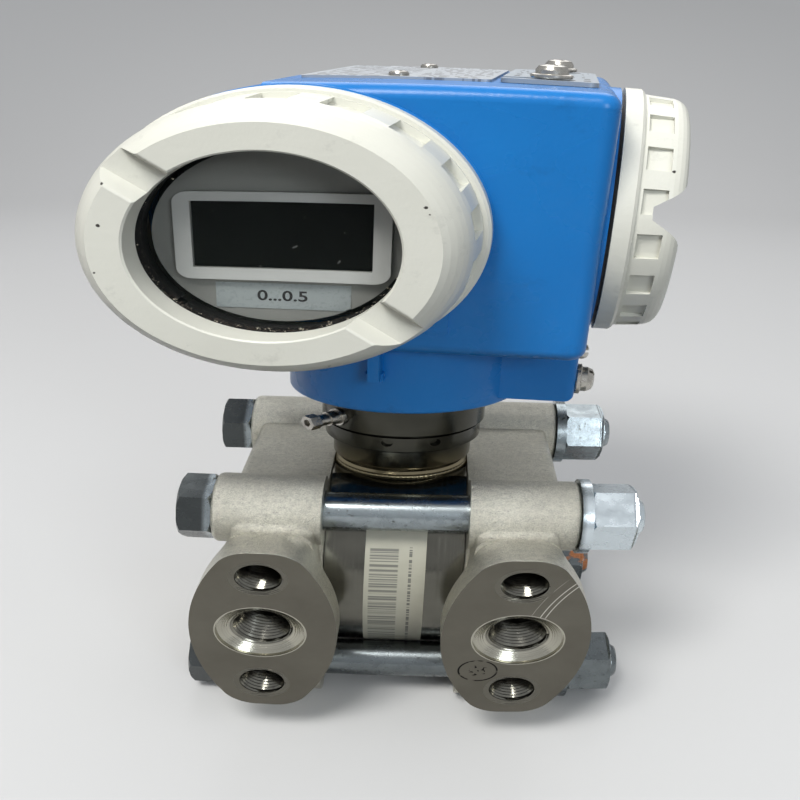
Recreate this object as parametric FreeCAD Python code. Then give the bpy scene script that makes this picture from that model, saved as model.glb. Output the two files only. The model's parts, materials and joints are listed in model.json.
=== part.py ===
"""Differential pressure transmitter: process flanges, measuring cell, neck and swivel housing.

Millimetres, +Z up. The origin lies midway between the two process ports, on the plane of their
faces. The ports look along -Y, the flanges stand left and right of the cell (-X and +X).

Every piece is first built about the cell's own centre, where the cell's axis (X) crosses the
neck's axis (Z), and moved back by CELL_Y at the end. The pieces of the housing are built square
to the axes and then turned about the neck by HOUSING_TURN.
"""
import math
import os

import FreeCAD
import Part

V = FreeCAD.Vector
X, Y, Z = V(1, 0, 0), V(0, 1, 0), V(0, 0, 1)

# ---- process connection, after IEC 61518 ---------------------------------------------------
PORT_PITCH = 54.0        # between the two ports
MOUNT_PITCH = 41.3       # between a face's two mounting holes
UNF_TAP_R = 4.95         # 7/16-20 UNF tapping hole
UNF_DEPTH = 17.0
UNF_MOUTH_R, UNF_CHAMFER = 6.0, 0.45
PORT_RING_R, PORT_RING_T = 9.6, 0.8      # shallow step round the port's countersink
PORT_CONE_R = 9.25
PORT_CONE_DEPTH = 3.0
PORT_R = 6.2             # 1/4-18 NPT, mean of the tapered thread
PORT_DEPTH = 17.0
DUCT_R = 2.5             # passage from port to chamber

# ---- bolts, M12 ----------------------------------------------------------------------------
BOLT_PITCH = 61.0        # the four bolts stand at the corners of a square
BOLT_R = 6.0
BOLT_HOLE_R = BOLT_R + 0.5
HEX_AF = 19.0
HEAD_T = 7.5
NUT_T = 10.0
WASHER_R, WASHER_T = 12.0, 2.4
BOLT_END = 2.0           # thread standing out of the nut
HEAD_TURNS = (20.0, 44.6, 42.0, 3.0)     # as the hexagons were left, front low to back high
NUT_TURNS = (47.0, 14.6, 8.0, 33.0)

# ---- measuring cell ------------------------------------------------------------------------
CELL_Y = 55.0            # from the port faces back to the cell's axis
CELL_HALF = 15.3
CELL_R = BOLT_PITCH / math.sqrt(2) - BOLT_R - 0.43       # runs just inside the four bolts
SEAL_OUT = CELL_R - 3.7
SEAL_IN = SEAL_OUT - 3.5
SEAL_DEPTH = 2.4
CHAMBER_R = SEAL_IN - 1.0
CHAMBER_DEPTH = 2.0
DIAPHRAGM_R, DIAPHRAGM_T = CHAMBER_R - 1.0, 0.5
WELL_DEPTH = 12.0        # the sensor's well in the top of the cell

# ---- flanges -------------------------------------------------------------------------------
FACE_GAP = 0.2           # left by the flat seal between flange and cell
WEB_T = 20.5
BOSS_RISE = 2.9
FLANGE_IN = CELL_HALF + FACE_GAP
FLANGE_WEB = FLANGE_IN + WEB_T
FLANGE_OUT = FLANGE_WEB + BOSS_RISE      # outer face of the bolt bosses
WEB_HALF = BOLT_PITCH / 2 + 5.5          # half height and half depth of the web
BOSS_R = 11.2
OVAL_X = PORT_PITCH / 2 - 0.5            # middle of the oval face
OVAL_HALF_W = 15.7
OVAL_HALF_H = MOUNT_PITCH / 2 + 9.35
OVAL_TOP_HALF = 6.3      # where its sides would meet the flat top, were the corners not round
OVAL_CORNER = 8.0
OVAL_T = 8.0             # thickness before it tapers into the web
TAPER_T = 7.1
ROOT_T = 9.4             # how far the snout's root reaches into the web
ROOT_TOP_HALF = 8.4
ROOT_CORNER = 4.0
COVE_R = 3.0             # hollow curve where the snout's top meets the bolt bosses
REAR_BOSS_R, REAR_BOSS_T, REAR_DEPTH = 10.5, 5.0, 14.0

# ---- neck ----------------------------------------------------------------------------------
NECK_WELD_R = 15.2
NECK_TUBE_R = NECK_WELD_R + 0.8
NECK_BAND_R = NECK_TUBE_R + 1.9
NECK_RING_R = NECK_BAND_R + 0.8
NECK_SPIGOT_R = 16.5
NECK_BORE_R = 9.0
Z_WELD = CELL_R - 2.3                    # the neck stands on a flat on the cell
Z_TUBE = Z_WELD + 4.1
Z_BAND = Z_TUBE + 6.5
Z_RING = Z_BAND + 6.6
Z_RING_TOP = Z_RING + 11.6
SPIGOT_L = 16.8
Z_SPIGOT_TOP = Z_RING_TOP + SPIGOT_L
DIMPLE_R, DIMPLE_TURNS = 1.3, (-99.8, -65.0)
LOCK_AZIMUTH = -139.0    # degrees from +X, of the locking screw in the ring
LOCK_R = 1.9
Z_LOCK = Z_RING + 4.0

# ---- swivel joint --------------------------------------------------------------------------
RUN = 0.05               # running clearance of a thread or a shaft
COLLAR_BOTTOM = Z_RING_TOP + 0.3
COLLAR_R = 26.0
GROOVE_Z, GROOVE_W, GROOVE_DEPTH = COLLAR_BOTTOM + 3.5, 2.2, 1.6     # seal's groove in the spigot
SHOULDER_Z = COLLAR_BOTTOM + 11.5        # step in the collar that the circlip bears on
CLIP_Z, CLIP_T, CLIP_DEPTH, CLIP_OUT = SHOULDER_Z + 0.3, 1.4, 1.5, 2.2
CLIP_ROOM_T = 6.0
WIRE_BORE_R = 8.0

# ---- threads and covers --------------------------------------------------------------------
MOUTH_R = 32.65          # threaded mouths of both compartments
MOUTH_DEPTH = 12.5
CAVITY_R = MOUTH_R - 1.65
COVER_SEAL = (MOUTH_R + 0.35, MOUTH_R + 2.35)    # the seals' radii
SEAL_GAP = 0.8           # between a cover's rim and the housing
SEAL_GROOVE = 1.4
RIM_R = MOUTH_R + 4.35
RIM_T = 3.9
HUB_R = RIM_R - 1.4
SKIRT_L = 9.0
SKIRT_WALL = 2.4
SKIRT_R = MOUTH_R - RUN
POCKETS = 18
POCKET_DEEP = 1.7
DISPLAY_SLOT_TURN = 139.4
TERMINAL_SLOT_TURN = -11.6
DISPLAY_H = 25.1         # the display cover's height over its rim's underside
FRONT_R = HUB_R - 5.05   # flat ring of its face
WINDOW_R = FRONT_R - 6.65
WINDOW_LIP = 7.3         # depth of the window's reveal
GASKET_T = 0.6
GLASS_R, GLASS_T = WINDOW_R + 3.5, 5.0
RETAINER_T = 3.2
SEAT_DEPTH = GASKET_T + GLASS_T + RETAINER_T + 0.7      # bore behind the lip, for the glass
TERMINAL_H = 13.1        # the terminal cover's height over its rim's underside
TERMINAL_WALL = 8.6

# ---- housing -------------------------------------------------------------------------------
HOUSING_TURN = -5.86     # degrees about the neck, as the housing stands
COVER_Z = COLLAR_BOTTOM + 59.3           # height of both cover axes
DISPLAY_X = -18.4        # display cover's axis
TERMINAL_Y = 7.6         # terminal cover's axis
BARREL_R = RIM_R + 0.2
BARREL_FRONT = -34.1
BODY_LEFT, BODY_RIGHT = DISPLAY_X - 5.6, 38.5
BODY_FRONT, BODY_BACK = BARREL_FRONT + 1.1, 60.0
BODY_BOTTOM, BODY_TOP = COVER_Z - 36.5, COVER_Z + BARREL_R + 0.2
BODY_FILLET = 3.5
SADDLE_R, SADDLE_RIGHT = RIM_R - 0.1, BODY_RIGHT + 0.8   # ring round the terminal compartment
CAVITY_BACK = BODY_BACK - 12.0
TERMINAL_FLOOR = SADDLE_RIGHT - 23.3

# ---- fittings on the housing ---------------------------------------------------------------
KEY_X, KEY_Y, KEY_R = 26.0, (8.0, 18.0, 28.0), 3.0
KEY_SINK, KEY_L = 1.4, 3.4               # how far a key's shoulder lies under the roof, its length
KEY_POCKET = 2.6
NAME_SCREWS = [(-3.2, -7.0, 1.0), (-3.2, 45.0, 1.0)]      # x, y, shank radius
FLAP_SCREWS = [(25.5, -6.0, 1.5), (26.2, 43.5, 1.5)]
NAME_PLATE = (-21.2, 14.6, -12.0, 52.0)                   # x0, x1, y0, y1
FLAP = (16.2, BODY_RIGHT - 4.0, -12.0, 51.0)
FLAP_FRONT_R, FLAP_REAR_R = 2.0, 5.0     # the rear corners swing past the name plate
NAME_T = 0.7
FLAP_T, FLAP_LIFT = 1.2, 0.1
FLAP_WASHER_R, FLAP_WASHER_T, WASHER_LIFT = 4.1, 1.1, 0.3
SCREW_SEAT = 3.2                         # depth of a small screw's blind hole
EAR_RIGHT, EAR_FRONT, EAR_BACK = BODY_RIGHT - 0.5, -14.0, 12.0
EAR_BOTTOM = COLLAR_BOTTOM + 2.1
EAR_SCREW_Y = EAR_FRONT + 6.0
GROUND_Z, CLAW_Z = EAR_BOTTOM + 5.8, EAR_BOTTOM + 15.4
GROUND_R, CLAW_R = 2.0, 1.5
EAR_DEPTH = 7.5
ENTRY_X, GLAND_Z, PLUG_Z = TERMINAL_FLOOR + 11.0, BODY_BOTTOM + 17.7, BODY_TOP - 19.2
ENTRY_R, ENTRY_FACE = 9.25, 2.0          # M20 x 1.5 entries, and how far their faces stand out
ENTRY_RIM = 3.3
GLAND_BORE_R, GLAND_SEAL_R, GLAND_NECK_R = 5.2, 7.6, 9.6
CABLE_R = 4.0
GLAND_AF, GLAND_HEX_T = 24.0, 5.0
FILTER_X, FILTER_Z, FILTER_R = DISPLAY_X - 15.6, COVER_Z - 14.8, 4.0

# ---- display, electronics and terminals ----------------------------------------------------
BEZEL_T = 1.8
MODULE_R, MODULE_T = WINDOW_R - 0.6, 9.0
MODULE_FRONT = BARREL_FRONT - SEAL_GAP - DISPLAY_H + WINDOW_LIP + GASKET_T + GLASS_T + 0.3 + BEZEL_T
LCD = (DISPLAY_X - 15.4, DISPLAY_X + 17.2, COVER_Z - 8.2, COVER_Z + 9.6)         # x0, x1, z0, z1
PLATE = (DISPLAY_X - 11.8, DISPLAY_X + 13.2, COVER_Z - MODULE_R + 3.6, COVER_Z - MODULE_R + 10.7)
BOARD_T = 1.6
CAN_FRONT, CAN_L = -18.0, 50.0           # potted electronics
CAN_SCREWS = [(DISPLAY_X + (CAVITY_R - 5.0) * math.cos(math.radians(a)),
               COVER_Z + (CAVITY_R - 5.0) * math.sin(math.radians(a))) for a in (157.4, -22.6)]
CAN_SCREW_SINK = 5.0
BLOCK_T, BLOCK_HALF_W, BLOCK_HALF_H = 11.0, 16.0, 9.0
TERM_YS = (TERMINAL_Y - 10.0, TERMINAL_Y, TERMINAL_Y + 10.0)
TERM_Z, TERM_SINK, TERM_R = COVER_Z - 1.0, 3.5, 1.5
INNER_GROUND_R, INNER_GROUND_Z = 1.8, COVER_Z + 20.0


# ---- helpers -------------------------------------------------------------------------------
def cyl(r, h, base, axis=Z):
    return Part.makeCylinder(r, h, V(*base), axis)


def tube(r_out, r_in, h, base, axis=Z):
    return cyl(r_out, h, base, axis).cut(cyl(r_in, h, base, axis))


def box(x0, x1, y0, y1, z0, z1):
    return Part.makeBox(x1 - x0, y1 - y0, z1 - z0, V(x0, y0, z0))


def cone(r0, r1, h, base, axis=Z):
    return Part.makeCone(r0, r1, h, V(*base), axis)


def lathe(points, axis=Z, base=(0, 0, 0)):
    """Turn a closed outline of (radius, height) pairs about an axis through base."""
    wire = Part.makePolygon([V(r, 0, h) for r, h in points + points[:1]])
    solid = Part.Face(wire).revolve(V(0, 0, 0), Z, 360)
    solid.Placement = FreeCAD.Placement(V(*base), FreeCAD.Rotation(Z, axis))
    return solid


def hexagon(af, h, base, axis, turn=0.0):
    """Hexagonal prism of width af across flats, its corners turned by turn about axis."""
    r = af / math.sqrt(3)
    corners = [V(r * math.cos(math.radians(turn + 60 * i)),
                 r * math.sin(math.radians(turn + 60 * i)), 0) for i in range(7)]
    solid = Part.Face(Part.makePolygon(corners)).extrude(V(0, 0, h))
    solid.Placement = FreeCAD.Placement(V(*base), FreeCAD.Rotation(Z, axis))
    return solid


def chamfered_hex(af, h, base, axis, turn=0.0):
    """A hexagon whose corners are turned off at both ends, as on a nut."""
    r = af / math.sqrt(3)
    drop = 0.12 * af
    barrel = lathe([(0, 0), (r - drop * 0.55, 0), (r + 0.01, drop * 0.32),
                    (r + 0.01, h - drop * 0.32), (r - drop * 0.55, h), (0, h)], axis, base)
    return hexagon(af, h, base, axis, turn).common(barrel)


def to_left(shape):
    """Half a turn about Y, which puts a right-hand piece on the left: both sides are alike."""
    out = shape.copy()
    out.rotate(V(0, 0, 0), Y, 180)
    return out


def one(shapes):
    """Join shapes into one."""
    return shapes[0].fuse(shapes[1:]) if len(shapes) > 1 else shapes[0]


def group(shapes):
    return Part.makeCompound(shapes)


def edges_where(shape, test):
    return [e for e in shape.Edges if test(e)]


def corners(pitch):
    return [(y * pitch / 2, z * pitch / 2) for y in (-1, 1) for z in (-1, 1)]


# ---- flanges -------------------------------------------------------------------------------
def oval(cx, half_w, top_half, corner, y, rise=0.0):
    """The oval outline at depth y: wide arcs, a flat top and bottom, and round corners."""
    h = OVAL_HALF_H + rise
    sag = half_w - top_half
    side = (h * h + sag * sag) / (2 * sag)           # radius of the wide arcs
    mid = half_w - side
    flat = mid + math.sqrt((side - corner) ** 2 - (h - corner) ** 2)
    k = side / (side - corner)
    ex, ez = mid + k * (flat - mid), k * (h - corner)          # where arc and corner meet
    turn = (math.atan2(ez - h + corner, ex - flat) + math.pi / 2) / 2
    bx, bz = flat + corner * math.cos(turn), h - corner + corner * math.sin(turn)
    p = lambda x, z: V(cx + x, y, z)
    arc = lambda a, b, c: Part.Arc(p(*a), p(*b), p(*c)).toShape()
    return Part.Wire([
        arc((ex, ez), (half_w, 0), (ex, -ez)), arc((ex, -ez), (bx, -bz), (flat, -h)),
        Part.makeLine(p(flat, -h), p(-flat, -h)),
        arc((-flat, -h), (-bx, -bz), (-ex, -ez)), arc((-ex, -ez), (-half_w, 0), (-ex, ez)),
        arc((-ex, ez), (-bx, bz), (-flat, h)), Part.makeLine(p(-flat, h), p(flat, h)),
        arc((flat, h), (bx, bz), (ex, ez))])


def flange():
    """Right-hand flange: a web with four bolt bosses, and a snout that ends in the oval face."""
    face = -CELL_Y
    web = box(FLANGE_IN, FLANGE_WEB, -WEB_HALF, WEB_HALF, -WEB_HALF, WEB_HALF)
    web = web.makeFillet(2.0, edges_where(web, lambda e: e.BoundBox.XMin > FLANGE_WEB - 0.01))
    bosses = []
    for y, z in corners(BOLT_PITCH):
        boss = cyl(BOSS_R, FLANGE_OUT - FLANGE_IN, (FLANGE_IN, y, z), X)
        bosses.append(boss.makeFillet(
            1.2, edges_where(boss, lambda e: e.BoundBox.XMin > FLANGE_OUT - 0.01)))
    tip = (OVAL_X, OVAL_HALF_W, OVAL_TOP_HALF, OVAL_CORNER)
    slab = Part.Face(oval(*tip, face)).extrude(V(0, OVAL_T, 0))
    mid = (FLANGE_IN + FLANGE_WEB) / 2
    half = (FLANGE_WEB - FLANGE_IN) / 2
    y1 = face + OVAL_T
    foot = (mid, half, ROOT_TOP_HALF, ROOT_CORNER)
    taper = Part.makeLoft([oval(*tip, y1), oval(*foot, y1 + TAPER_T)], True, True)
    root = Part.Face(oval(*foot, y1 + TAPER_T)).extrude(V(0, ROOT_T, 0))
    lift = OVAL_HALF_H + COVE_R - BOLT_PITCH / 2     # of the cove's centre over the boss's
    reach = math.sqrt((BOSS_R + COVE_R) ** 2 - lift ** 2)
    y2 = -BOLT_PITCH / 2 - reach
    stops = [k * math.atan2(reach, lift) / 5 for k in range(6)]
    coves = [oval(*foot, y2 + COVE_R * math.sin(a), COVE_R * (1 - math.cos(a))) for a in stops]
    cove = Part.makeLoft(coves, True, True)
    rear = cyl(REAR_BOSS_R, REAR_BOSS_T, (PORT_PITCH / 2 - 1.0, WEB_HALF, 0), Y)
    body = one([web, taper, root, cove, slab, rear] + bosses)
    px = PORT_PITCH / 2
    cuts = [cyl(BOLT_HOLE_R, FLANGE_OUT, (FLANGE_IN - 1, y, z), X) for y, z in corners(BOLT_PITCH)]
    cuts += [cyl(CHAMBER_R, CHAMBER_DEPTH, (FLANGE_IN, 0, 0), X),
             tube(SEAL_OUT, SEAL_IN, SEAL_DEPTH, (FLANGE_IN, 0, 0), X),
             lathe([(0, -1), (PORT_RING_R, -1), (PORT_RING_R, PORT_RING_T), (PORT_CONE_R, PORT_RING_T),
                    (PORT_R + 0.8, PORT_CONE_DEPTH - 0.5), (PORT_R, PORT_CONE_DEPTH),
                    (0, PORT_CONE_DEPTH)], Y, (px, face, 0)),
             cyl(PORT_R, PORT_DEPTH, (px, face, 0), Y),
             cyl(DUCT_R, WEB_HALF + CELL_Y - 4, (px, face + 2, 0), Y),
             cyl(PORT_R, REAR_DEPTH, (px, WEB_HALF + REAR_BOSS_T - REAR_DEPTH, 0), Y),
             cyl(DUCT_R, px - FLANGE_IN, (FLANGE_IN, 0, 0), X)]
    for s in (-1, 1):
        z = s * MOUNT_PITCH / 2
        cuts += [cyl(UNF_TAP_R, UNF_DEPTH, (px, face, z), Y),
                 cone(UNF_MOUTH_R, UNF_TAP_R, UNF_CHAMFER, (px, face, z), Y)]
    return body.cut(cuts).removeSplitter()


def rear_plug():
    """Blanking plug in the rear of the right-hand flange: threaded shank and hexagon."""
    px, y = PORT_PITCH / 2, WEB_HALF + REAR_BOSS_T
    plug = one([cyl(PORT_R, REAR_DEPTH - 2.0, (px, y - REAR_DEPTH + 2.0, 0), Y),
                chamfered_hex(17.0, 7.0, (px, y, 0), Y, 12)])
    return plug.cut(cyl(1.2, 8.0, (px, y + 1.0, 0), Y))


def flange_seal():
    return tube(SEAL_OUT, SEAL_IN, SEAL_DEPTH + FLANGE_IN - CELL_HALF, (CELL_HALF, 0, 0), X)


# ---- fasteners -----------------------------------------------------------------------------
def bolts():
    out = []
    length = 2 * FLANGE_OUT + WASHER_T + NUT_T + BOLT_END
    for (y, z), turn in zip(corners(BOLT_PITCH), HEAD_TURNS):
        shank = cyl(BOLT_R, length, (-FLANGE_OUT, y, z), X)
        tip = lathe([(0, -1.0), (BOLT_R + 1, -1.0), (BOLT_R + 1, length - 1.2), (BOLT_R, length - 1.2),
                     (BOLT_R - 1.0, length), (0, length)], X, (-FLANGE_OUT, y, z))
        head = chamfered_hex(HEX_AF, HEAD_T, (-FLANGE_OUT - HEAD_T, y, z), X, turn)
        out.append(head.fuse(shank.common(tip)))
    return group(out)


def washers():
    return group([tube(WASHER_R, BOLT_R, WASHER_T, (FLANGE_OUT, y, z), X)
                  for y, z in corners(BOLT_PITCH)])


def nuts():
    return group([chamfered_hex(HEX_AF, NUT_T, (FLANGE_OUT + WASHER_T, y, z), X, turn).cut(
        cyl(BOLT_R, NUT_T, (FLANGE_OUT + WASHER_T, y, z), X))
        for (y, z), turn in zip(corners(BOLT_PITCH), NUT_TURNS)])


# ---- cell and neck -------------------------------------------------------------------------
def cell_body():
    drum = cyl(CELL_R, 2 * CELL_HALF, (-CELL_HALF, 0, 0), X)
    flat = box(-CELL_HALF - 1, CELL_HALF + 1, -CELL_R, CELL_R, Z_WELD, CELL_R + 1)
    seat = cyl(CELL_HALF, Z_WELD, (0, 0, 0), Z)
    body = drum.cut(flat).fuse(seat)
    sink = 1.2
    recess = [cyl(DIAPHRAGM_R - 2.0, sink, (x, 0, 0), X) for x in (-CELL_HALF, CELL_HALF - sink)]
    well = cyl(NECK_BORE_R, WELL_DEPTH, (0, 0, Z_WELD - WELL_DEPTH))
    # an oil duct runs in from each recess and rises to the sensor's well
    x_duct, z_duct, r_duct = NECK_BORE_R / 2, 6.0, 1.0
    ducts = [cyl(r_duct, CELL_HALF - x_duct + r_duct, (x, 0, z_duct), X)
             for x in (-CELL_HALF, x_duct - r_duct)]
    risers = [cyl(r_duct, Z_WELD - WELL_DEPTH + 1.0 - z_duct, (s * x_duct, 0, z_duct))
              for s in (-1, 1)]
    return body.cut(recess + [well] + ducts + risers).removeSplitter()


def diaphragm(side):
    """Thin isolating diaphragm with three shallow rings, on the cell's face."""
    t, r = DIAPHRAGM_T, DIAPHRAGM_R
    top = [(r, t), (r - 3, t)]
    low = [(r, 0.0), (r - 3, 0.0)]
    for c in (r - 7, r - 13, r - 19):
        top += [(c + 2, t), (c + 1, 2 * t), (c - 1, 2 * t), (c - 2, t)]
        low += [(c + 2, 0.0), (c + 1, t), (c - 1, t), (c - 2, 0.0)]
    outline = [(0, t)] + top[::-1] + low + [(0, 0.0)]
    disc = lathe(outline, X, (CELL_HALF, 0, 0))
    return disc if side > 0 else to_left(disc)


def cell_label():
    """Printed label round the front of the cell."""
    t = 0.2
    ring = tube(CELL_R + t, CELL_R, 13.4, (-6.4, 0, 0), X)
    wedge = Part.Face(Part.makePolygon([V(-7, 0, 0), V(-7, -50, 47), V(-7, -60, 0),
                                        V(-7, -50, -47), V(-7, 0, 0)])).extrude(V(15, 0, 0))
    return ring.common(wedge)


def neck():
    weld = NECK_WELD_R
    outline = [(NECK_BORE_R, Z_WELD), (weld - 0.2, Z_WELD), (weld + 0.25, Z_WELD + 0.7),
               (weld + 0.25, Z_WELD + 1.4), (weld - 0.4, Z_WELD + 2.1), (weld - 0.3, Z_TUBE - 1.2),
               (NECK_TUBE_R, Z_TUBE), (NECK_TUBE_R, Z_BAND - 0.5), (NECK_TUBE_R - 0.5, Z_BAND - 0.4),
               (NECK_TUBE_R - 0.5, Z_BAND + 0.2), (NECK_BAND_R - 0.5, Z_BAND + 0.3),
               (NECK_BAND_R, Z_BAND + 0.8), (NECK_BAND_R, Z_RING - 0.9),
               (NECK_BAND_R - 0.7, Z_RING - 0.8), (NECK_BAND_R - 0.7, Z_RING - 0.1),
               (NECK_RING_R - 0.4, Z_RING), (NECK_RING_R, Z_RING + 0.4), (NECK_RING_R, Z_RING_TOP),
               (NECK_SPIGOT_R, Z_RING_TOP), (NECK_SPIGOT_R, GROOVE_Z),
               (NECK_SPIGOT_R - GROOVE_DEPTH, GROOVE_Z),
               (NECK_SPIGOT_R - GROOVE_DEPTH, GROOVE_Z + GROOVE_W), (NECK_SPIGOT_R, GROOVE_Z + GROOVE_W),
               (NECK_SPIGOT_R, CLIP_Z - 0.1), (NECK_SPIGOT_R - CLIP_DEPTH, CLIP_Z - 0.1),
               (NECK_SPIGOT_R - CLIP_DEPTH, CLIP_Z + CLIP_T + 0.1), (NECK_SPIGOT_R, CLIP_Z + CLIP_T + 0.1),
               (NECK_SPIGOT_R, Z_SPIGOT_TOP - 0.8), (NECK_SPIGOT_R - 0.8, Z_SPIGOT_TOP),
               (NECK_BORE_R, Z_SPIGOT_TOP)]
    body = lathe(outline)
    a = math.radians(LOCK_AZIMUTH)
    d = V(math.cos(a), math.sin(a), 0)
    cuts = [cyl(LOCK_R, 8.0, (d.x * 12, d.y * 12, Z_LOCK), d),
            cyl(3.0, 3.0, (d.x * (NECK_RING_R - 0.7), d.y * (NECK_RING_R - 0.7), Z_LOCK), d)]
    for turn in DIMPLE_TURNS:
        e = V(math.cos(math.radians(turn)), math.sin(math.radians(turn)), 0)
        cuts.append(cyl(DIMPLE_R, 3.0, (e.x * (NECK_BAND_R - 1.0), e.y * (NECK_BAND_R - 1.0),
                                        (Z_BAND + Z_RING) / 2 + 0.6), e))
    return body.cut(cuts)


def lock_screw():
    """Locking screw of the swivel, standing out of the neck's ring."""
    a = math.radians(LOCK_AZIMUTH)
    d = V(math.cos(a), math.sin(a), 0)
    at = lambda r: (d.x * r, d.y * r, Z_LOCK)
    tip = NECK_RING_R + 5.9
    parts = [cyl(LOCK_R, tip - 10.4, at(12.2), d), cyl(2.9, 1.3, at(NECK_RING_R - 0.7), d),
             cyl(2.3, 2.6, at(NECK_RING_R + 0.6), d), chamfered_hex(4.4, 2.6, at(tip), d, 10)]
    return one(parts).cut(hexagon(2.2, 1.4, at(tip + 1.4), d))


def neck_seal():
    return tube(NECK_SPIGOT_R + 0.02, NECK_SPIGOT_R - GROOVE_DEPTH, GROOVE_W - 0.2,
                (0, 0, GROOVE_Z + 0.1))


def circlip():
    ring = tube(NECK_SPIGOT_R + CLIP_OUT, NECK_SPIGOT_R - CLIP_DEPTH, CLIP_T, (0, 0, CLIP_Z))
    return ring.cut(box(NECK_BORE_R, COLLAR_R, -2.5, 2.5, CLIP_Z - 1, CLIP_Z + CLIP_T + 1))


def sensor():
    """Pressure sensor on its glass header, with the pins that carry the signal up the neck."""
    base = cyl(NECK_BORE_R, WELL_DEPTH / 2, (0, 0, Z_WELD - WELL_DEPTH))
    cap = cyl(6.5, 4.0, (0, 0, Z_WELD - WELL_DEPTH / 2))
    pins = [cyl(0.5, 9.0, (4.5 * math.cos(k * math.pi / 3), 4.5 * math.sin(k * math.pi / 3),
                          Z_WELD - WELL_DEPTH / 2 + 2.0)) for k in range(6)]
    return one([base, cap] + pins)


def feed_tube():
    """Feed-through that carries the sensor's wires up into the housing."""
    body = tube(NECK_BORE_R, 6.0, 4.0, (0, 0, Z_SPIGOT_TOP - 22.0))
    return one([body, tube(7.0, 6.0, 26.0, (0, 0, Z_SPIGOT_TOP - 20.0))])


# ---- housing -------------------------------------------------------------------------------
def housing():
    block = box(BODY_LEFT, BODY_RIGHT, BODY_FRONT, BODY_BACK, BODY_BOTTOM, BODY_TOP)
    block = block.makeFillet(BODY_FILLET, edges_where(
        block, lambda e: e.BoundBox.XMax > BODY_LEFT + 0.01))
    barrel = cyl(BARREL_R, BODY_BACK - BARREL_FRONT, (DISPLAY_X, BARREL_FRONT, COVER_Z), Y)
    barrel = barrel.makeChamfer(0.7, edges_where(
        barrel, lambda e: e.BoundBox.YMax < BARREL_FRONT + 0.01))
    barrel = barrel.makeFillet(BODY_FILLET, edges_where(
        barrel, lambda e: e.BoundBox.YMin > BODY_BACK - 0.01))
    saddle = cyl(SADDLE_R, 10.8, (SADDLE_RIGHT - 10.8, TERMINAL_Y, COVER_Z), X)
    collar = cyl(COLLAR_R, BODY_BOTTOM + 6.0 - COLLAR_BOTTOM, (0, 0, COLLAR_BOTTOM))
    collar = collar.makeFillet(1.0, edges_where(
        collar, lambda e: e.BoundBox.ZMax < COLLAR_BOTTOM + 0.01))
    ear = box(COLLAR_R - 8.0, EAR_RIGHT, EAR_FRONT, EAR_BACK, EAR_BOTTOM, BODY_BOTTOM + 5)
    ear = ear.makeFillet(2.0, edges_where(
        ear, lambda e: e.BoundBox.XMin > EAR_RIGHT - 0.01 and e.BoundBox.ZMin < BODY_BOTTOM))
    low = BODY_BOTTOM - 10.3
    rib = one([box(-4.1, -1.7, BODY_FRONT + 2.4, BODY_FRONT + 11.0, low, BODY_BOTTOM + 2),
               box(-4.9, -1.2, BODY_FRONT + 4.4, BODY_FRONT + 11.0, low - 0.6, low + 2.0)])
    pad = box(-8.0, 11.5, BODY_FRONT - 0.6, BODY_FRONT + 1, COVER_Z - 29.2, COVER_Z - 22.2)
    entries = [cyl(ENTRY_R + ENTRY_RIM, ENTRY_FACE + 1.0, (ENTRY_X, BODY_BACK - 1.0, z), Y)
               for z in (GLAND_Z, PLUG_Z)]
    body = one([block, barrel, saddle, collar, ear, rib, pad] + entries)
    cuts = [cyl(MOUTH_R, MOUTH_DEPTH, (DISPLAY_X, BARREL_FRONT, COVER_Z), Y),
            cone(MOUTH_R + 1.0, MOUTH_R, 1.0, (DISPLAY_X, BARREL_FRONT, COVER_Z), Y),
            cyl(CAVITY_R, CAVITY_BACK - BARREL_FRONT, (DISPLAY_X, BARREL_FRONT, COVER_Z), Y),
            cyl(MOUTH_R, MOUTH_DEPTH, (SADDLE_RIGHT - MOUTH_DEPTH, TERMINAL_Y, COVER_Z), X),
            cone(MOUTH_R, MOUTH_R + 1.0, 1.0, (SADDLE_RIGHT - 1.0, TERMINAL_Y, COVER_Z), X),
            cyl(CAVITY_R, SADDLE_RIGHT - TERMINAL_FLOOR, (TERMINAL_FLOOR, TERMINAL_Y, COVER_Z), X),
            cyl(NECK_SPIGOT_R + RUN, SHOULDER_Z - COLLAR_BOTTOM, (0, 0, COLLAR_BOTTOM)),
            cyl(NECK_SPIGOT_R + CLIP_OUT + 0.4, CLIP_ROOM_T, (0, 0, SHOULDER_Z)),
            cyl(WIRE_BORE_R, COVER_Z - SHOULDER_Z, (0, 0, SHOULDER_Z + 3.5))]
    for z in (GLAND_Z, PLUG_Z):
        cuts.append(cyl(ENTRY_R, BODY_BACK + ENTRY_FACE - TERMINAL_Y - 22.0,
                        (ENTRY_X, TERMINAL_Y + 22.0, z), Y))
    cuts.append(cyl(FILTER_R, BODY_BACK - CAVITY_BACK + 2.0, (FILTER_X, CAVITY_BACK - 1.0, FILTER_Z),
                    Y))
    cuts.append(cyl(FILTER_R + 2.0, 2.0, (FILTER_X, BODY_BACK - 2.0, FILTER_Z), Y))
    # the keys' pocket in the roof, their three bores, and the blind holes of the screws
    cuts.append(box(KEY_X - 5.5, KEY_X + 5.5, KEY_Y[0] - 5.0, KEY_Y[-1] + 5.0, BODY_TOP - KEY_POCKET,
                    BODY_TOP + 1))
    floor = BODY_TOP - KEY_SINK - KEY_L - 1.2
    cuts += [cyl(KEY_R + RUN, BODY_TOP - KEY_POCKET + 0.6 - floor, (KEY_X, y, floor)) for y in KEY_Y]
    cuts += [cyl(r, SCREW_SEAT, (x, y, BODY_TOP - SCREW_SEAT))
             for x, y, r in NAME_SCREWS + FLAP_SCREWS]
    cuts.append(cyl(INNER_GROUND_R, 1.8, (TERMINAL_FLOOR - 1.8, TERMINAL_Y, INNER_GROUND_Z), X))
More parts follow.
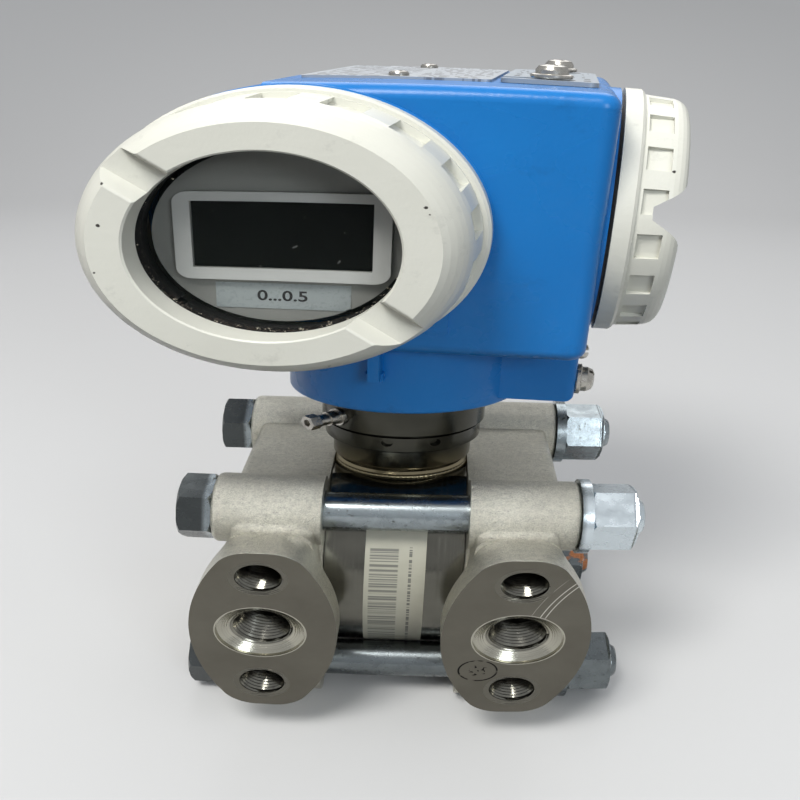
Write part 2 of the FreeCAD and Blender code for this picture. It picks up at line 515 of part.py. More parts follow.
    # blind holes in the ear for the ground screw and the cover's locking claw
    cuts += [cyl(r, EAR_DEPTH, (EAR_RIGHT - EAR_DEPTH, EAR_SCREW_Y, z), X)
             for r, z in ((GROUND_R, GROUND_Z), (CLAW_R, CLAW_Z))]
    return body.cut(cuts)



def pan_screw(base, axis, r_head, h_head, r_shank, depth, turn=0.0, cross=False):
    """Round-headed screw, its head's underside at base, with a slot or a cross in it."""
    head = lathe([(0, 0), (r_head, 0), (r_head, h_head * 0.45), (r_head * 0.82, h_head * 0.85),
                  (r_head * 0.5, h_head), (0, h_head)])
    shank = cyl(r_shank, depth, (0, 0, -depth))
    w = max(0.35, r_head * 0.12)
    slots = [box(-r_head - 1, r_head + 1, -w, w, h_head * 0.55, h_head + 1)]
    if cross:
        slots = [box(-r_head * 0.6, r_head * 0.6, -w, w, h_head * 0.4, h_head + 1),
                 box(-w, w, -r_head * 0.6, r_head * 0.6, h_head * 0.4, h_head + 1)]
    screw = head.fuse(shank).cut(slots)
    screw.rotate(V(0, 0, 0), Z, turn)
    screw.Placement = FreeCAD.Placement(V(*base), FreeCAD.Rotation(Z, axis)).multiply(
        screw.Placement)
    return screw


def name_plate():
    x0, x1, y0, y1 = NAME_PLATE
    t = NAME_T
    plate = box(x0, x1, y0, y1, BODY_TOP, BODY_TOP + t)
    plate = plate.makeFillet(1.5, edges_where(plate, lambda e: e.BoundBox.ZLength > t - 0.01))
    return plate.cut([cyl(r, 4, (x, y, BODY_TOP - 1)) for x, y, r in NAME_SCREWS])


def name_screws():
    return group([pan_screw((x, y, BODY_TOP + NAME_T), Z, 2.0, 1.3, r, NAME_T + SCREW_SEAT - 0.4,
                            30.0, True)
                  for x, y, r in NAME_SCREWS])


def key_flap():
    """Flap over the keys. It turns on its rear screw; a side slot frees it from the front one."""
    x0, x1, y0, y1 = FLAP
    z = BODY_TOP + FLAP_LIFT
    plate = box(x0, x1, y0, y1, z, z + FLAP_T)
    for radius, end in ((FLAP_FRONT_R, y0), (FLAP_REAR_R, y1)):
        at_end = edges_where(plate, lambda e: e.BoundBox.ZLength > FLAP_T - 0.01
                             and e.BoundBox.XLength + e.BoundBox.YLength < 0.01
                             and abs(e.BoundBox.YMin - end) < 0.01)
        plate = plate.makeFillet(radius, at_end)
    (fx, fy, fr), (rx, ry, rr) = FLAP_SCREWS
    sweep = (fx - x0 + fr) ** 2 / (2 * (ry - fy))     # how far the slot's arc drifts to the rear
    cuts = [cyl(rr + 0.08, 4, (rx, ry, z - 1)), cyl(fr + 0.5, 4, (fx, fy, z - 1)),
            box(x0 - 1, fx, fy - fr - 0.5, fy + fr + 0.8 + sweep, z - 1, z + 3)]
    return plate.cut(cuts)


def flap_washers():
    w, t = FLAP_WASHER_R, FLAP_WASHER_T
    z = BODY_TOP + FLAP_LIFT + FLAP_T + WASHER_LIFT
    return group([lathe([(r, 0), (w - 0.2, 0), (w, 0.3), (w, t - 0.2), (w - 0.4, t), (r, t)], Z, (x, y, z))
                  for x, y, r in FLAP_SCREWS])


def flap_screws():
    z = BODY_TOP + FLAP_LIFT + FLAP_T + WASHER_LIFT + FLAP_WASHER_T
    return group([pan_screw((x, y, z), Z, 3.2, 2.4, r, z - BODY_TOP + SCREW_SEAT, 20.0, True)
                  for x, y, r in FLAP_SCREWS])


def key(i):
    """Push key: a round stem with a smaller raised pad on it."""
    y = KEY_Y[i]
    top = BODY_TOP - KEY_SINK
    return one([cyl(KEY_R, KEY_L, (KEY_X, y, top - KEY_L)), cyl(KEY_R - 0.7, 0.3, (KEY_X, y, top))])


def ground_screw():
    x = EAR_RIGHT
    lug = lathe([(GROUND_R, 0), (4.7, 0), (4.9, 0.3), (4.9, 1.0), (4.6, 1.2), (GROUND_R, 1.2)], X,
                (x, EAR_SCREW_Y, GROUND_Z))
    head = pan_screw((x + 1.2, EAR_SCREW_Y, GROUND_Z), X, 4.0, 2.8, GROUND_R, 1.2 + EAR_DEPTH - 0.5,
                     25.0)
    return head.fuse(lug)


def claw_screw():
    """Small screw in the ear that works the terminal cover's locking claw."""
    return pan_screw((EAR_RIGHT, EAR_SCREW_Y, CLAW_Z), X, 2.4, 2.0, CLAW_R, EAR_DEPTH - 0.5, 70.0)


# ---- covers --------------------------------------------------------------------------------
def pockets(r_face, t0, t1, first=10.0):
    """Grip pockets round a hub whose axis is Z: boxes sunk POCKET_DEEP into its wall."""
    out = []
    half = r_face * math.tan(math.radians(5.6))
    for k in range(POCKETS):
        b = box(r_face - POCKET_DEEP, r_face + 6, -half, half, t0, t1)
        b.rotate(V(0, 0, 0), Z, first + k * 360.0 / POCKETS)
        out.append(b)
    return out


def bulge(a, b, c, steps=6):
    """Points along the curve that leaves a towards b and reaches c as if it came from b."""
    along = [k / steps for k in range(steps + 1)]
    return [tuple((1 - t) ** 2 * p + 2 * t * (1 - t) * q + t * t * r for p, q, r in zip(a, b, c))
            for t in along]


def slot_bar(half_bottom, half_top, depth, top, length, soft):
    """Bar along X, narrow below and wide at height top, with soft shoulders: a cover's slot."""
    e = (half_top - half_bottom) / depth
    side = [(half_bottom, top - depth)] + bulge(
        (half_top - e * soft, top - soft), (half_top, top), (half_top + soft, top + 0.02), 4)
    side += [(half_top + soft, top + 1)]
    outline = side + [(-y, z) for y, z in reversed(side)]
    pts = [V(-length, y, z) for y, z in outline]
    return Part.Face(Part.makePolygon(pts + pts[:1])).extrude(V(2 * length, 0, 0))


def aim(shape, axis, base, up=Z):
    """Stand a shape built about +Z on base so that its Z runs along axis."""
    if axis == 'front':      # Z to -Y, X stays X
        m = FreeCAD.Matrix(1, 0, 0, base[0], 0, 0, -1, base[1], 0, 1, 0, base[2], 0, 0, 0, 1)
    else:                    # 'right': Z to +X, X to +Y, Y to +Z
        m = FreeCAD.Matrix(0, 0, 1, base[0], 1, 0, 0, base[1], 0, 1, 0, base[2], 0, 0, 0, 1)
    out = shape.copy()
    out.Placement = FreeCAD.Placement(m).multiply(out.Placement)
    return out


def display_cover():
    """Screw cover with a window. Height 0 is the rim's underside, the face is at h."""
    h = DISPLAY_H
    r_skirt = SKIRT_R
    lip = h - WINDOW_LIP
    outline = [(r_skirt, -SKIRT_L), (r_skirt, -0.8), (r_skirt - 0.6, -0.8), (r_skirt - 0.6, 0),
               (RIM_R, 0), (RIM_R, RIM_T - 0.6), (RIM_R - 0.6, RIM_T), (HUB_R, RIM_T)]
    outline += bulge((HUB_R - 0.3, h - 9.0), (HUB_R - 1.2, h - 3.0), (FRONT_R, h))
    outline += [(WINDOW_R + 0.4, h), (WINDOW_R, h - 0.4), (WINDOW_R, lip), (GLASS_R + 0.1, lip),
               (GLASS_R + 0.1, lip - SEAT_DEPTH), (r_skirt - SKIRT_WALL, lip - SEAT_DEPTH - 1.0),
               (r_skirt - SKIRT_WALL, -SKIRT_L)]
    body = lathe(outline)
    groove = tube(COVER_SEAL[1] + 0.1, COVER_SEAL[0] - 0.1, SEAL_GROOVE, (0, 0, 0))
    slot = slot_bar(2.9, 4.75, 4.6, h, 60, 0.6)
    slot.rotate(V(0, 0, 0), Z, DISPLAY_SLOT_TURN)
    cuts = pockets(HUB_R, RIM_T + 1.0, h - 8.0) + [groove, slot]
    return aim(body.cut(cuts), 'front', (DISPLAY_X, BARREL_FRONT - SEAL_GAP, COVER_Z))


def terminal_cover():
    h = TERMINAL_H
    r_skirt = SKIRT_R
    outline = [(r_skirt, -SKIRT_L), (r_skirt, -0.8), (r_skirt - 0.6, -0.8), (r_skirt - 0.6, 0),
               (RIM_R, 0), (RIM_R, RIM_T - 0.6), (RIM_R - 0.6, RIM_T), (HUB_R, RIM_T)]
    outline += bulge((HUB_R - 0.5, h - 4.0), (HUB_R - 0.8, h - 0.2), (HUB_R - 4.4, h))
    outline += [(0, h), (0, h - TERMINAL_WALL), (r_skirt - SKIRT_WALL - 2, h - TERMINAL_WALL),
               (r_skirt - SKIRT_WALL, h - TERMINAL_WALL - 2.0),
               (r_skirt - SKIRT_WALL, -SKIRT_L)]
    body = lathe(outline)
    groove = tube(COVER_SEAL[1] + 0.1, COVER_SEAL[0] - 0.1, SEAL_GROOVE, (0, 0, 0))
    slot = slot_bar(1.8, 7.0, 6.0, h, 60, 2.6)
    slot.rotate(V(0, 0, 0), Z, TERMINAL_SLOT_TURN)
    cuts = pockets(HUB_R, RIM_T + 0.8, h - 3.6, 3.5) + [groove, slot]
    return aim(body.cut(cuts), 'right', (SADDLE_RIGHT + SEAL_GAP, TERMINAL_Y, COVER_Z))


def cover_seal(which):
    ring = tube(COVER_SEAL[1], COVER_SEAL[0], SEAL_GROOVE + SEAL_GAP - 2 * RUN, (0, 0, RUN - SEAL_GAP))
    if which == 'display':
        return aim(ring, 'front', (DISPLAY_X, BARREL_FRONT - SEAL_GAP, COVER_Z))
    return aim(ring, 'right', (SADDLE_RIGHT + SEAL_GAP, TERMINAL_Y, COVER_Z))


def window_parts():
    """Gasket, glass and retaining ring behind the display cover's lip, front to back."""
    y = BARREL_FRONT - SEAL_GAP - DISPLAY_H + WINDOW_LIP
    at = lambda t: (DISPLAY_X, y + t, COVER_Z)
    gasket = tube(GLASS_R, WINDOW_R + 0.2, GASKET_T, at(0), Y)
    glass = cyl(GLASS_R, GLASS_T, at(GASKET_T), Y)
    ring = tube(GLASS_R + 0.1, WINDOW_R + 0.7, RETAINER_T, at(GASKET_T + GLASS_T), Y)
    notches = [box(WINDOW_R - 1, WINDOW_R + 2.0, -0.9, 0.9, 0, 8) for _ in range(4)]
    for k, n in enumerate(notches):
        n.rotate(V(0, 0, 0), Z, 45 + 90 * k)
    ring = ring.cut([aim(n, 'front', at(GASKET_T + GLASS_T + 8)) for n in notches])
    return gasket, glass, ring


# ---- display and electronics ---------------------------------------------------------------
def display_module():
    body = cyl(MODULE_R, MODULE_T, (DISPLAY_X, MODULE_FRONT, COVER_Z), Y)
    x0, x1, z0, z1 = LCD
    frame = box(x0 - 3.2, x1 + 3.2, MODULE_FRONT - BEZEL_T, MODULE_FRONT + 1, z0 - 3.2, z1 + 2.4)
    frame = frame.makeFillet(3.0, edges_where(frame, lambda e: e.BoundBox.YLength > BEZEL_T + 0.9))
    frame = frame.common(cyl(MODULE_R, MODULE_T, (DISPLAY_X, MODULE_FRONT - 3, COVER_Z), Y))
    well = box(x0, x1, MODULE_FRONT - 3, MODULE_FRONT + 1.2, z0, z1)
    px0, px1, pz0, pz1 = PLATE
    seat = box(px0, px1, MODULE_FRONT - 1, MODULE_FRONT + 0.3, pz0, pz1)
    return body.fuse(frame).cut([well, seat])


def lcd_panel():
    x0, x1, z0, z1 = LCD
    return box(x0, x1, MODULE_FRONT - 0.6, MODULE_FRONT + 1.2, z0, z1)


def range_plate():
    x0, x1, z0, z1 = PLATE
    plate = box(x0, x1, MODULE_FRONT - 0.2, MODULE_FRONT + 0.3, z0, z1)
    return plate.common(cyl(MODULE_R - 0.3, 2.0, (DISPLAY_X, MODULE_FRONT - 1, COVER_Z), Y))


def display_board():
    return cyl(MODULE_R - 1.5, BOARD_T, (DISPLAY_X, MODULE_FRONT + MODULE_T, COVER_Z), Y)


def electronics():
    """Potted main electronics that fills the rear of the display compartment."""
    can = cyl(CAVITY_R, CAN_L, (DISPLAY_X, CAN_FRONT, COVER_Z), Y)
    y0 = MODULE_FRONT + MODULE_T + BOARD_T
    post = cyl(11.0, CAN_FRONT - y0, (DISPLAY_X, y0, COVER_Z), Y)
    cuts = [cyl(WIRE_BORE_R + 4.0, 16.0, (0, 0, COVER_Z - 35.0))]
    for x, z in CAN_SCREWS:
        cuts += [cyl(2.5, CAN_SCREW_SINK, (x, CAN_FRONT, z), Y),
                 cyl(1.2, 8.0, (x, CAN_FRONT + CAN_SCREW_SINK, z), Y)]
    return can.fuse(post).cut(cuts)


def electronics_screws():
    return group([pan_screw((x, CAN_FRONT + CAN_SCREW_SINK, z), -Y, 2.4, 1.8, 1.2, 7.5)
                  for x, z in CAN_SCREWS])


def terminal_block():
    x0 = TERMINAL_FLOOR
    block = box(x0, x0 + BLOCK_T, TERMINAL_Y - BLOCK_HALF_W, TERMINAL_Y + BLOCK_HALF_W,
                COVER_Z - BLOCK_HALF_H, COVER_Z + BLOCK_HALF_H)
    block = block.makeFillet(1.5, edges_where(block, lambda e: e.BoundBox.XLength > BLOCK_T - 0.1))
    seat = x0 + BLOCK_T - TERM_SINK
    cuts = []
    for y in TERM_YS:
        cuts += [cyl(3.2, TERM_SINK + 0.5, (seat, y, TERM_Z), X),
                 cyl(TERM_R, TERM_SINK + 1.5, (seat - 4.5, y, TERM_Z), X),
                 box(seat - 5.0, seat, y - 2.2, y + 2.2, TERM_Z - BLOCK_HALF_H, TERM_Z - 3.0)]
    return block.cut(cuts)


def terminal_screws():
    seat = TERMINAL_FLOOR + BLOCK_T - TERM_SINK
    return group([pan_screw((seat, y, TERM_Z), X, 3.0, 2.2, TERM_R, 4.0, 35.0) for y in TERM_YS])


def inner_ground():
    """Ground screw inside the terminal compartment, on its floor."""
    return pan_screw((TERMINAL_FLOOR, TERMINAL_Y, INNER_GROUND_Z), X, 3.6, 2.4, INNER_GROUND_R, 1.6,
                     15.0)


# ---- cable entries -------------------------------------------------------------------------
def gland_body():
    y = BODY_BACK + ENTRY_FACE
    at = lambda t: (ENTRY_X, y + t, GLAND_Z)
    hexa = chamfered_hex(GLAND_AF, GLAND_HEX_T, at(0), Y, 10)
    return one([tube(ENTRY_R, GLAND_BORE_R, 9.0, at(-9.0), Y),
                hexa.cut(cyl(GLAND_BORE_R, GLAND_HEX_T, at(0), Y)),
                tube(GLAND_NECK_R, GLAND_SEAL_R, 9.0, at(GLAND_HEX_T), Y)])


def gland_seal():
    return tube(GLAND_SEAL_R, CABLE_R, 8.0, (ENTRY_X, BODY_BACK + ENTRY_FACE + GLAND_HEX_T, GLAND_Z), Y)


def gland_nut():
    """Domed cap nut that presses the seal round the cable."""
    y = BODY_BACK + ENTRY_FACE + GLAND_HEX_T + 1.0
    at = lambda t: (ENTRY_X, y + t, GLAND_Z)
    mouth = CABLE_R + 0.6
    nut = chamfered_hex(GLAND_AF, 9.0, at(0), Y, 22)
    dome = lathe([(mouth, 8.9), (11.2, 8.9), (9.4, 13.5), (8.0, 15.0), (mouth, 15.0)], Y, at(0))
    return nut.cut([cyl(GLAND_NECK_R, 8.2, at(0), Y), cyl(mouth, 9.0, at(0), Y)]).fuse(dome)


def blanking_plug():
    y = BODY_BACK + ENTRY_FACE
    return one([cyl(ENTRY_R, 10.0, (ENTRY_X, y - 10.0, PLUG_Z), Y),
                lathe([(0, 0), (11.8, 0), (11.8, 2.2), (10.8, 3.4), (0, 3.4)], Y,
                      (ENTRY_X, y, PLUG_Z))]).cut(hexagon(8.0, 3.0, (ENTRY_X, y + 0.6, PLUG_Z), Y))


def vent_filter():
    """Pressure-compensation filter in the rear wall of the display compartment."""
    y = BODY_BACK - 2.0
    body = one([cyl(FILTER_R, 9.0, (FILTER_X, y - 9.0, FILTER_Z), Y),
                cyl(FILTER_R + 1.8, 3.0, (FILTER_X, y, FILTER_Z), Y)])
    holes = [(FILTER_X + 3.0 * math.cos(k * math.pi / 3), FILTER_Z + 3.0 * math.sin(k * math.pi / 3))
             for k in range(6)]
    return body.cut([cyl(0.7, 2.0, (x, y + 2.0, z), Y) for x, z in holes])


# ---- the list of nodes ---------------------------------------------------------------------
def build():
    gasket, glass, retainer = window_parts()
    right = flange()
    fixed = {
        "flange_right": right, "flange_left": to_left(right),
        "flange_seal_right": flange_seal(), "flange_seal_left": to_left(flange_seal()),
        "flange_bolts": bolts(), "flange_washers": washers(), "flange_nuts": nuts(),
        "rear_plug_right": rear_plug(), "rear_plug_left": to_left(rear_plug()),
        "cell_body": cell_body(), "diaphragm_right": diaphragm(1), "diaphragm_left": diaphragm(-1),
        "cell_label": cell_label(), "neck": neck(), "neck_seal": neck_seal(),
        "circlip": circlip(), "lock_screw": lock_screw(), "pressure_sensor": sensor(),
        "feed_tube": feed_tube(),
    }
    turned = {
        "housing": housing(), "name_plate": name_plate(), "name_screws": name_screws(),
        "key_flap": key_flap(), "flap_washers": flap_washers(), "flap_screws": flap_screws(),
        "key_zero": key(0), "key_span": key(1), "key_enter": key(2),
        "ground_screw": ground_screw(), "claw_screw": claw_screw(),
        "display_cover": display_cover(), "display_cover_seal": cover_seal('display'),
        "window_gasket": gasket, "window_glass": glass, "window_retainer": retainer,
        "terminal_cover": terminal_cover(), "terminal_cover_seal": cover_seal('terminal'),
        "display_module": display_module(), "lcd_panel": lcd_panel(),
        "range_plate": range_plate(), "display_board": display_board(),
        "electronics": electronics(), "electronics_screws": electronics_screws(),
        "terminal_block": terminal_block(), "terminal_screws": terminal_screws(),
        "inner_ground_screw": inner_ground(), "gland_body": gland_body(),
        "gland_seal": gland_seal(), "gland_nut": gland_nut(), "blanking_plug": blanking_plug(),
        "vent_filter": vent_filter(),
    }
    nodes = {}
    for name, shape in fixed.items():
        nodes[name] = shape.copy()
    for name, shape in turned.items():
        part = shape.copy()
        part.rotate(V(0, 0, 0), Z, HOUSING_TURN)
        nodes[name] = part
    for part in nodes.values():
        part.translate(V(0, CELL_Y, 0))
    return nodes


os.makedirs("parts", exist_ok=True)
for name, shape in build().items():
    if not shape.isValid() or shape.Volume <= 0:
        raise ValueError(name + " is not a sound solid")
    shape.exportStep("parts/" + name + ".step")
    print(name, len(shape.Solids), round(shape.Volume, 1))
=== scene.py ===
# %% [markdown]
# # Dressing a differential pressure transmitter
#
# The solids of this instrument come ready made: two steel flanges bolted round a measuring cell, a
# neck, and a blue cast housing with two screwed covers. Here they get their finishes, and the
# things too fine for the solids: threads, weld, print, scratches and dirt. Every length is in
# metres, in the frame of the solids, so nothing has to be fitted afterwards.

# %% Load the solids
import json
import math

import bmesh
import bpy
import numpy as np
from mathutils import Matrix, Vector


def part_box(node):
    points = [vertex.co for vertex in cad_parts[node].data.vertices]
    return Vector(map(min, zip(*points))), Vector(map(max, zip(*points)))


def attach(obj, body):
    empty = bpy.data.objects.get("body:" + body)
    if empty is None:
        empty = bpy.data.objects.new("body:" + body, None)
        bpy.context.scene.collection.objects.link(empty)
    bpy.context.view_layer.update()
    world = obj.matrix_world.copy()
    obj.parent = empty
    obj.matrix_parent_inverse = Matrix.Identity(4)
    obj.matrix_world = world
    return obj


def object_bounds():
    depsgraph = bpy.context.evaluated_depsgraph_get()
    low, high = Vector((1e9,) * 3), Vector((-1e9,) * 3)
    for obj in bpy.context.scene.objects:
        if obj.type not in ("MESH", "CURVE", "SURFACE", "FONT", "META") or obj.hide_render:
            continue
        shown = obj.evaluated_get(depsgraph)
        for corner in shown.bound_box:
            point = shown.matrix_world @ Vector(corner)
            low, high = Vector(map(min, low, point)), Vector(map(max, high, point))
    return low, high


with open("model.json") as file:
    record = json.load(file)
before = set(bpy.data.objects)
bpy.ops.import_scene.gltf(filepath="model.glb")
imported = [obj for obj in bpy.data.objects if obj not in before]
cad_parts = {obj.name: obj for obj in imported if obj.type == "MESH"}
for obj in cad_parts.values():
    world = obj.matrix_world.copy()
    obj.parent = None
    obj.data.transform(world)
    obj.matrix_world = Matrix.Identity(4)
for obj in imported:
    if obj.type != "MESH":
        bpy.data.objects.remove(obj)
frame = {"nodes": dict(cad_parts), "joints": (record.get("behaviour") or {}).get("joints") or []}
nodes = frame["nodes"]
cad_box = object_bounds()
mm = 0.001
print("solids:", len(nodes), "box:", [round(v, 4) for corner in cad_box for v in corner])

# %% [markdown]
# ## Where things are
#
# The joints say where the round parts turn and which way. The display cover's joint gives the
# middle of the window, the terminal cover's the middle of the other compartment. From an axis and
# "up" come three directions at right angles: to the side, up, and out. A point given in those is
# easy to think about, and one small function carries it into the room. How far a solid reaches in
# a direction is read from its own points, so no position has to be typed twice.

# %% Seats and reaches
joints = {j["name"]: j for j in frame["joints"]}


class Seat:
    """A place with three directions at right angles: side = up x out, then up = out x side."""

    def __init__(self, origin, out, up=(0, 0, 1)):
        self.origin = np.array(origin, float)
        self.out = np.array(out, float) / np.linalg.norm(out)
        self.side = np.cross(up, self.out)
        self.side /= np.linalg.norm(self.side)
        self.up = np.cross(self.out, self.side)

    def place(self, side, up, out):
        """origin + side * (side direction) + up * (up direction) + out * (out direction)."""
        given = np.broadcast_arrays(*(np.asarray(a, float) for a in (side, up, out)))
        return self.origin + sum(a[..., None] * d for a, d in
                                 zip(given, (self.side, self.up, self.out)))

    def span(self, node, direction):
        """Least and greatest distance of the solid's points from the seat, along a direction."""
        flat = np.empty(3 * len(nodes[node].data.vertices), np.float32)
        nodes[node].data.vertices.foreach_get("co", flat)
        along = (flat.reshape(-1, 3) - self.origin) @ direction
        return float(along.min()), float(along.max())


window = Seat(joints["display_cover_turn"]["pos_m"], joints["display_cover_turn"]["axis"])
terminal = Seat(joints["terminal_cover_turn"]["pos_m"], joints["terminal_cover_turn"]["axis"])
roof = Seat(joints["housing_swivel"]["pos_m"], (0, 0, 1), up=-window.out)
HOUSING_TURN = math.atan2(roof.side[1], roof.side[0])
print("housing stands turned by", round(math.degrees(HOUSING_TURN), 2), "degrees")

# %% [markdown]
# ## The camera
#
# The instrument is seen from in front and above, through an anamorphic view: heights are drawn at
# two thirds of their true size, as a wide film picture is before it is stretched. A plain camera
# can't do that, but a panoramic one can, because the width and the height of its field are set
# apart. On a cylinder of unit radius, the width is an angle and the height is a tangent. Over a
# field as narrow as this, that stays within one percent of a plain perspective.

# %% Camera
CAMERA_PLACE = Vector((3.4, -197.2, 173.3)) * mm
LOOK_DOWN, TURN_LEFT, ROLL = 24.84, 0.98, 1.80
HALF_WIDTH_ANGLE = 0.3302
HALF_HEIGHT_TANGENT = 0.4968


def make_camera():
    """A cylindrical panorama over a small field: equal angles across, equal tangents up."""
    lens = bpy.data.cameras.new("front_view")
    lens.type = "PANO"
    lens.panorama_type = "CENTRAL_CYLINDRICAL"
    lens.central_cylindrical_radius = 1.0
    lens.central_cylindrical_range_u_min = -HALF_WIDTH_ANGLE
    lens.central_cylindrical_range_u_max = HALF_WIDTH_ANGLE
    lens.central_cylindrical_range_v_min = -HALF_HEIGHT_TANGENT
    lens.central_cylindrical_range_v_max = HALF_HEIGHT_TANGENT
    lens.clip_start = 0.01
    camera = bpy.data.objects.new("front_view", lens)
    bpy.context.scene.collection.objects.link(camera)
    turn, tilt, roll = (math.radians(a) for a in (TURN_LEFT, 90 - LOOK_DOWN, ROLL))
    camera.matrix_world = (Matrix.Translation(CAMERA_PLACE) @ Matrix.Rotation(turn, 4, "Z")
                           @ Matrix.Rotation(tilt, 4, "X") @ Matrix.Rotation(roll, 4, "Z"))
    bpy.context.scene.camera = camera


make_camera()
print("camera stands", round(CAMERA_PLACE.length, 3), "m from the point between the ports")

# %% [markdown]
# ## Writing materials
#
# A material is a small graph of nodes. It could be drawn by hand in the editor, but then nobody can
# read it as text. So one helper adds a node, sets its switches, and fills its inputs: a number goes
# on the socket, and another node's output is linked to it. The others are the steps that every
# finish needs: arithmetic, a ramp, a mix of two colours and a blend of two numbers.

# %% Helpers for node graphs
def add(tree, kind, inputs=None, **switches):
    """Add a node of that kind, set its switches, and fill its inputs with numbers or links."""
    made = tree.nodes.new(kind)
    for name, value in switches.items():
        setattr(made, name, value)
    for name, value in (inputs or {}).items():
        socket = made.inputs[name]
        if isinstance(value, bpy.types.NodeSocket):
            tree.links.new(value, socket)
        else:
            socket.default_value = value
    return made


def maths(tree, operation, *values):
    """One arithmetic step on up to three numbers or sockets."""
    return add(tree, "ShaderNodeMath", dict(enumerate(values)), operation=operation).outputs[0]


def ramp(tree, value, start, end, low=0.0, high=1.0):
    """Straight ramp: low where value is under start, high where it is over end."""
    return add(tree, "ShaderNodeMapRange", {"Value": value, "From Min": start, "From Max": end,
                                            "To Min": low, "To Max": high}).outputs["Result"]


def mix(tree, share, first, second):
    """Colour that goes from first to second as share goes from 0 to 1."""
    made = add(tree, "ShaderNodeMix", {"Factor": share}, data_type="RGBA")
    for socket, colour in ((made.inputs[6], first), (made.inputs[7], second)):
        if isinstance(colour, bpy.types.NodeSocket):
            tree.links.new(colour, socket)
        else:
            socket.default_value = (*colour, 1.0)
    return made.outputs[2]


def blend(tree, share, first, second):
    """Number that goes from first to second as share goes from 0 to 1."""
    return add(tree, "ShaderNodeMix", {"Factor": share, "A": first, "B": second}).outputs[0]

# %% [markdown]
# ## Patterns in the solid
#
# Cast, turned and painted surfaces are never even. A picture wrapped round the part would need its
# faces unfolded, and would show seams. Random fields in space need neither: the surface just cuts
# through them wherever it runs. A field of one number gives stripes, and a ball round a point marks
# one spot.

# %% Fields and places
def noise(tree, place, scale, detail=2.0, roughness=0.5):
    """Smooth random field of about scale waves a metre."""
    return add(tree, "ShaderNodeTexNoise", {"Vector": place, "Scale": scale, "Detail": detail,
                                            "Roughness": roughness}).outputs["Fac"]


def stripes(tree, along, scale, detail=2.0):
    """Random field of one number only: the same all over each plane across that direction."""
    return add(tree, "ShaderNodeTexNoise", {"W": along, "Scale": scale, "Detail": detail},
               noise_dimensions="1D").outputs["Fac"]


def parts(tree, place):
    """The X, Y and Z of a place."""
    return add(tree, "ShaderNodeSeparateXYZ", {"Vector": place}).outputs


def seen_from(tree, place, origin, turn):
    """The place, counted from origin and turned back by an angle about the vertical."""
    return add(tree, "ShaderNodeMapping", {"Vector": place, "Location": origin,
                                           "Rotation": (0, 0, turn)},
               vector_type="TEXTURE").outputs["Vector"]


def near(tree, place, point, radius, edge=0.3):
    """1 inside a ball round the point, falling to 0 over a share of its radius."""
    gap = add(tree, "ShaderNodeVectorMath", {0: place, 1: tuple(point)},
              operation="DISTANCE").outputs["Value"]
    return ramp(tree, gap, radius, radius * (1 - edge))

# %% [markdown]
# ## Starting and using a finish
#
# Every finish begins alike: a new material, its graph, the shader in it, and the place on the
# object, which is measured in the frame of the solids. It ends by filling the shader's inputs. What
# is the same all over is set on the input itself, and only what changes over the surface is linked.

# %% Materials and who wears them
def finish_named(name):
    """A new material with its graph, its shader and the place on the object."""
    material = bpy.data.materials.new(name)
    material.use_nodes = True
    tree = material.node_tree
    place = add(tree, "ShaderNodeTexCoord").outputs["Object"]
    return material, tree, tree.nodes["Principled BSDF"], place


def set_inputs(tree, shader, **values):
    """Fill the shader's inputs: Base_Color means its Base Color."""
    for name, value in values.items():
        socket = shader.inputs[name.replace("_", " ")]
        if isinstance(value, bpy.types.NodeSocket):
            tree.links.new(value, socket)
        else:
            socket.default_value = (*value, 1.0) if isinstance(value, tuple) else value


def set_bump(tree, shader, height, distance):
    """Bend the light as if the surface rose by height times distance metres."""
    bump = add(tree, "ShaderNodeBump", {"Height": height, "Distance": distance})
    tree.links.new(bump.outputs["Normal"], shader.inputs["Normal"])


def wear(material, *names):
    """Give the named solids that material."""
    for name in names:
        for slot in nodes[name].material_slots:
            slot.material = material
    print(material.name, "on", ", ".join(names))

# %% [markdown]
# ## Powder coat
#
# The housing and its covers are painted with powder that melts into a skin. It flows, but not
# flat: the skin keeps a faint orange-peel ripple about a millimetre long. The ripple is too low to
# be worth any points in the mesh, so two layers of noise only bend the light. Where the paint is
# chipped, the metal under it shows as a dark dot. Each chip is a small ball round a point, and its
# rim is broken by noise, because a clean circle would look drilled.

# %% Powder coat
RAGGED = 0.7 * mm


def powder_coat(name, colour, shade, rough, chips=()):
    """Paint with orange peel, slow changes of tone, and the chips it has taken."""
    material, tree, shader, place = finish_named(name)
    drift = ramp(tree, noise(tree, place, 22.0, 3.0), 0.35, 0.65)
    tone = mix(tree, drift, colour, shade)
    stained = ramp(tree, noise(tree, place, 130.0, 6.0, 0.7), 0.60, 0.72, 0.0, 0.30)
    tone = mix(tree, stained, tone, tuple(0.55 * c for c in shade))
    stir = add(tree, "ShaderNodeTexNoise", {"Vector": place, "Scale": 900.0}).outputs["Color"]
    ragged = add(tree, "ShaderNodeVectorMath", {0: stir, 1: (RAGGED,) * 3, 2: place},
                 operation="MULTIPLY_ADD").outputs[0]
    for *point, radius in chips:
        middle = [p + RAGGED / 2 for p in point]
        tone = mix(tree, near(tree, ragged, middle, radius), tone, (0.035, 0.03, 0.027))
    set_inputs(tree, shader, Base_Color=tone, Specular_IOR_Level=0.3,
               Roughness=ramp(tree, noise(tree, place, 60.0, 4.0), 0.3, 0.7,
                              rough - 0.05, rough + 0.08))
    peel = maths(tree, "ADD", noise(tree, place, 900.0), noise(tree, place, 330.0))
    set_bump(tree, shader, peel, 0.04 * mm)
    return material

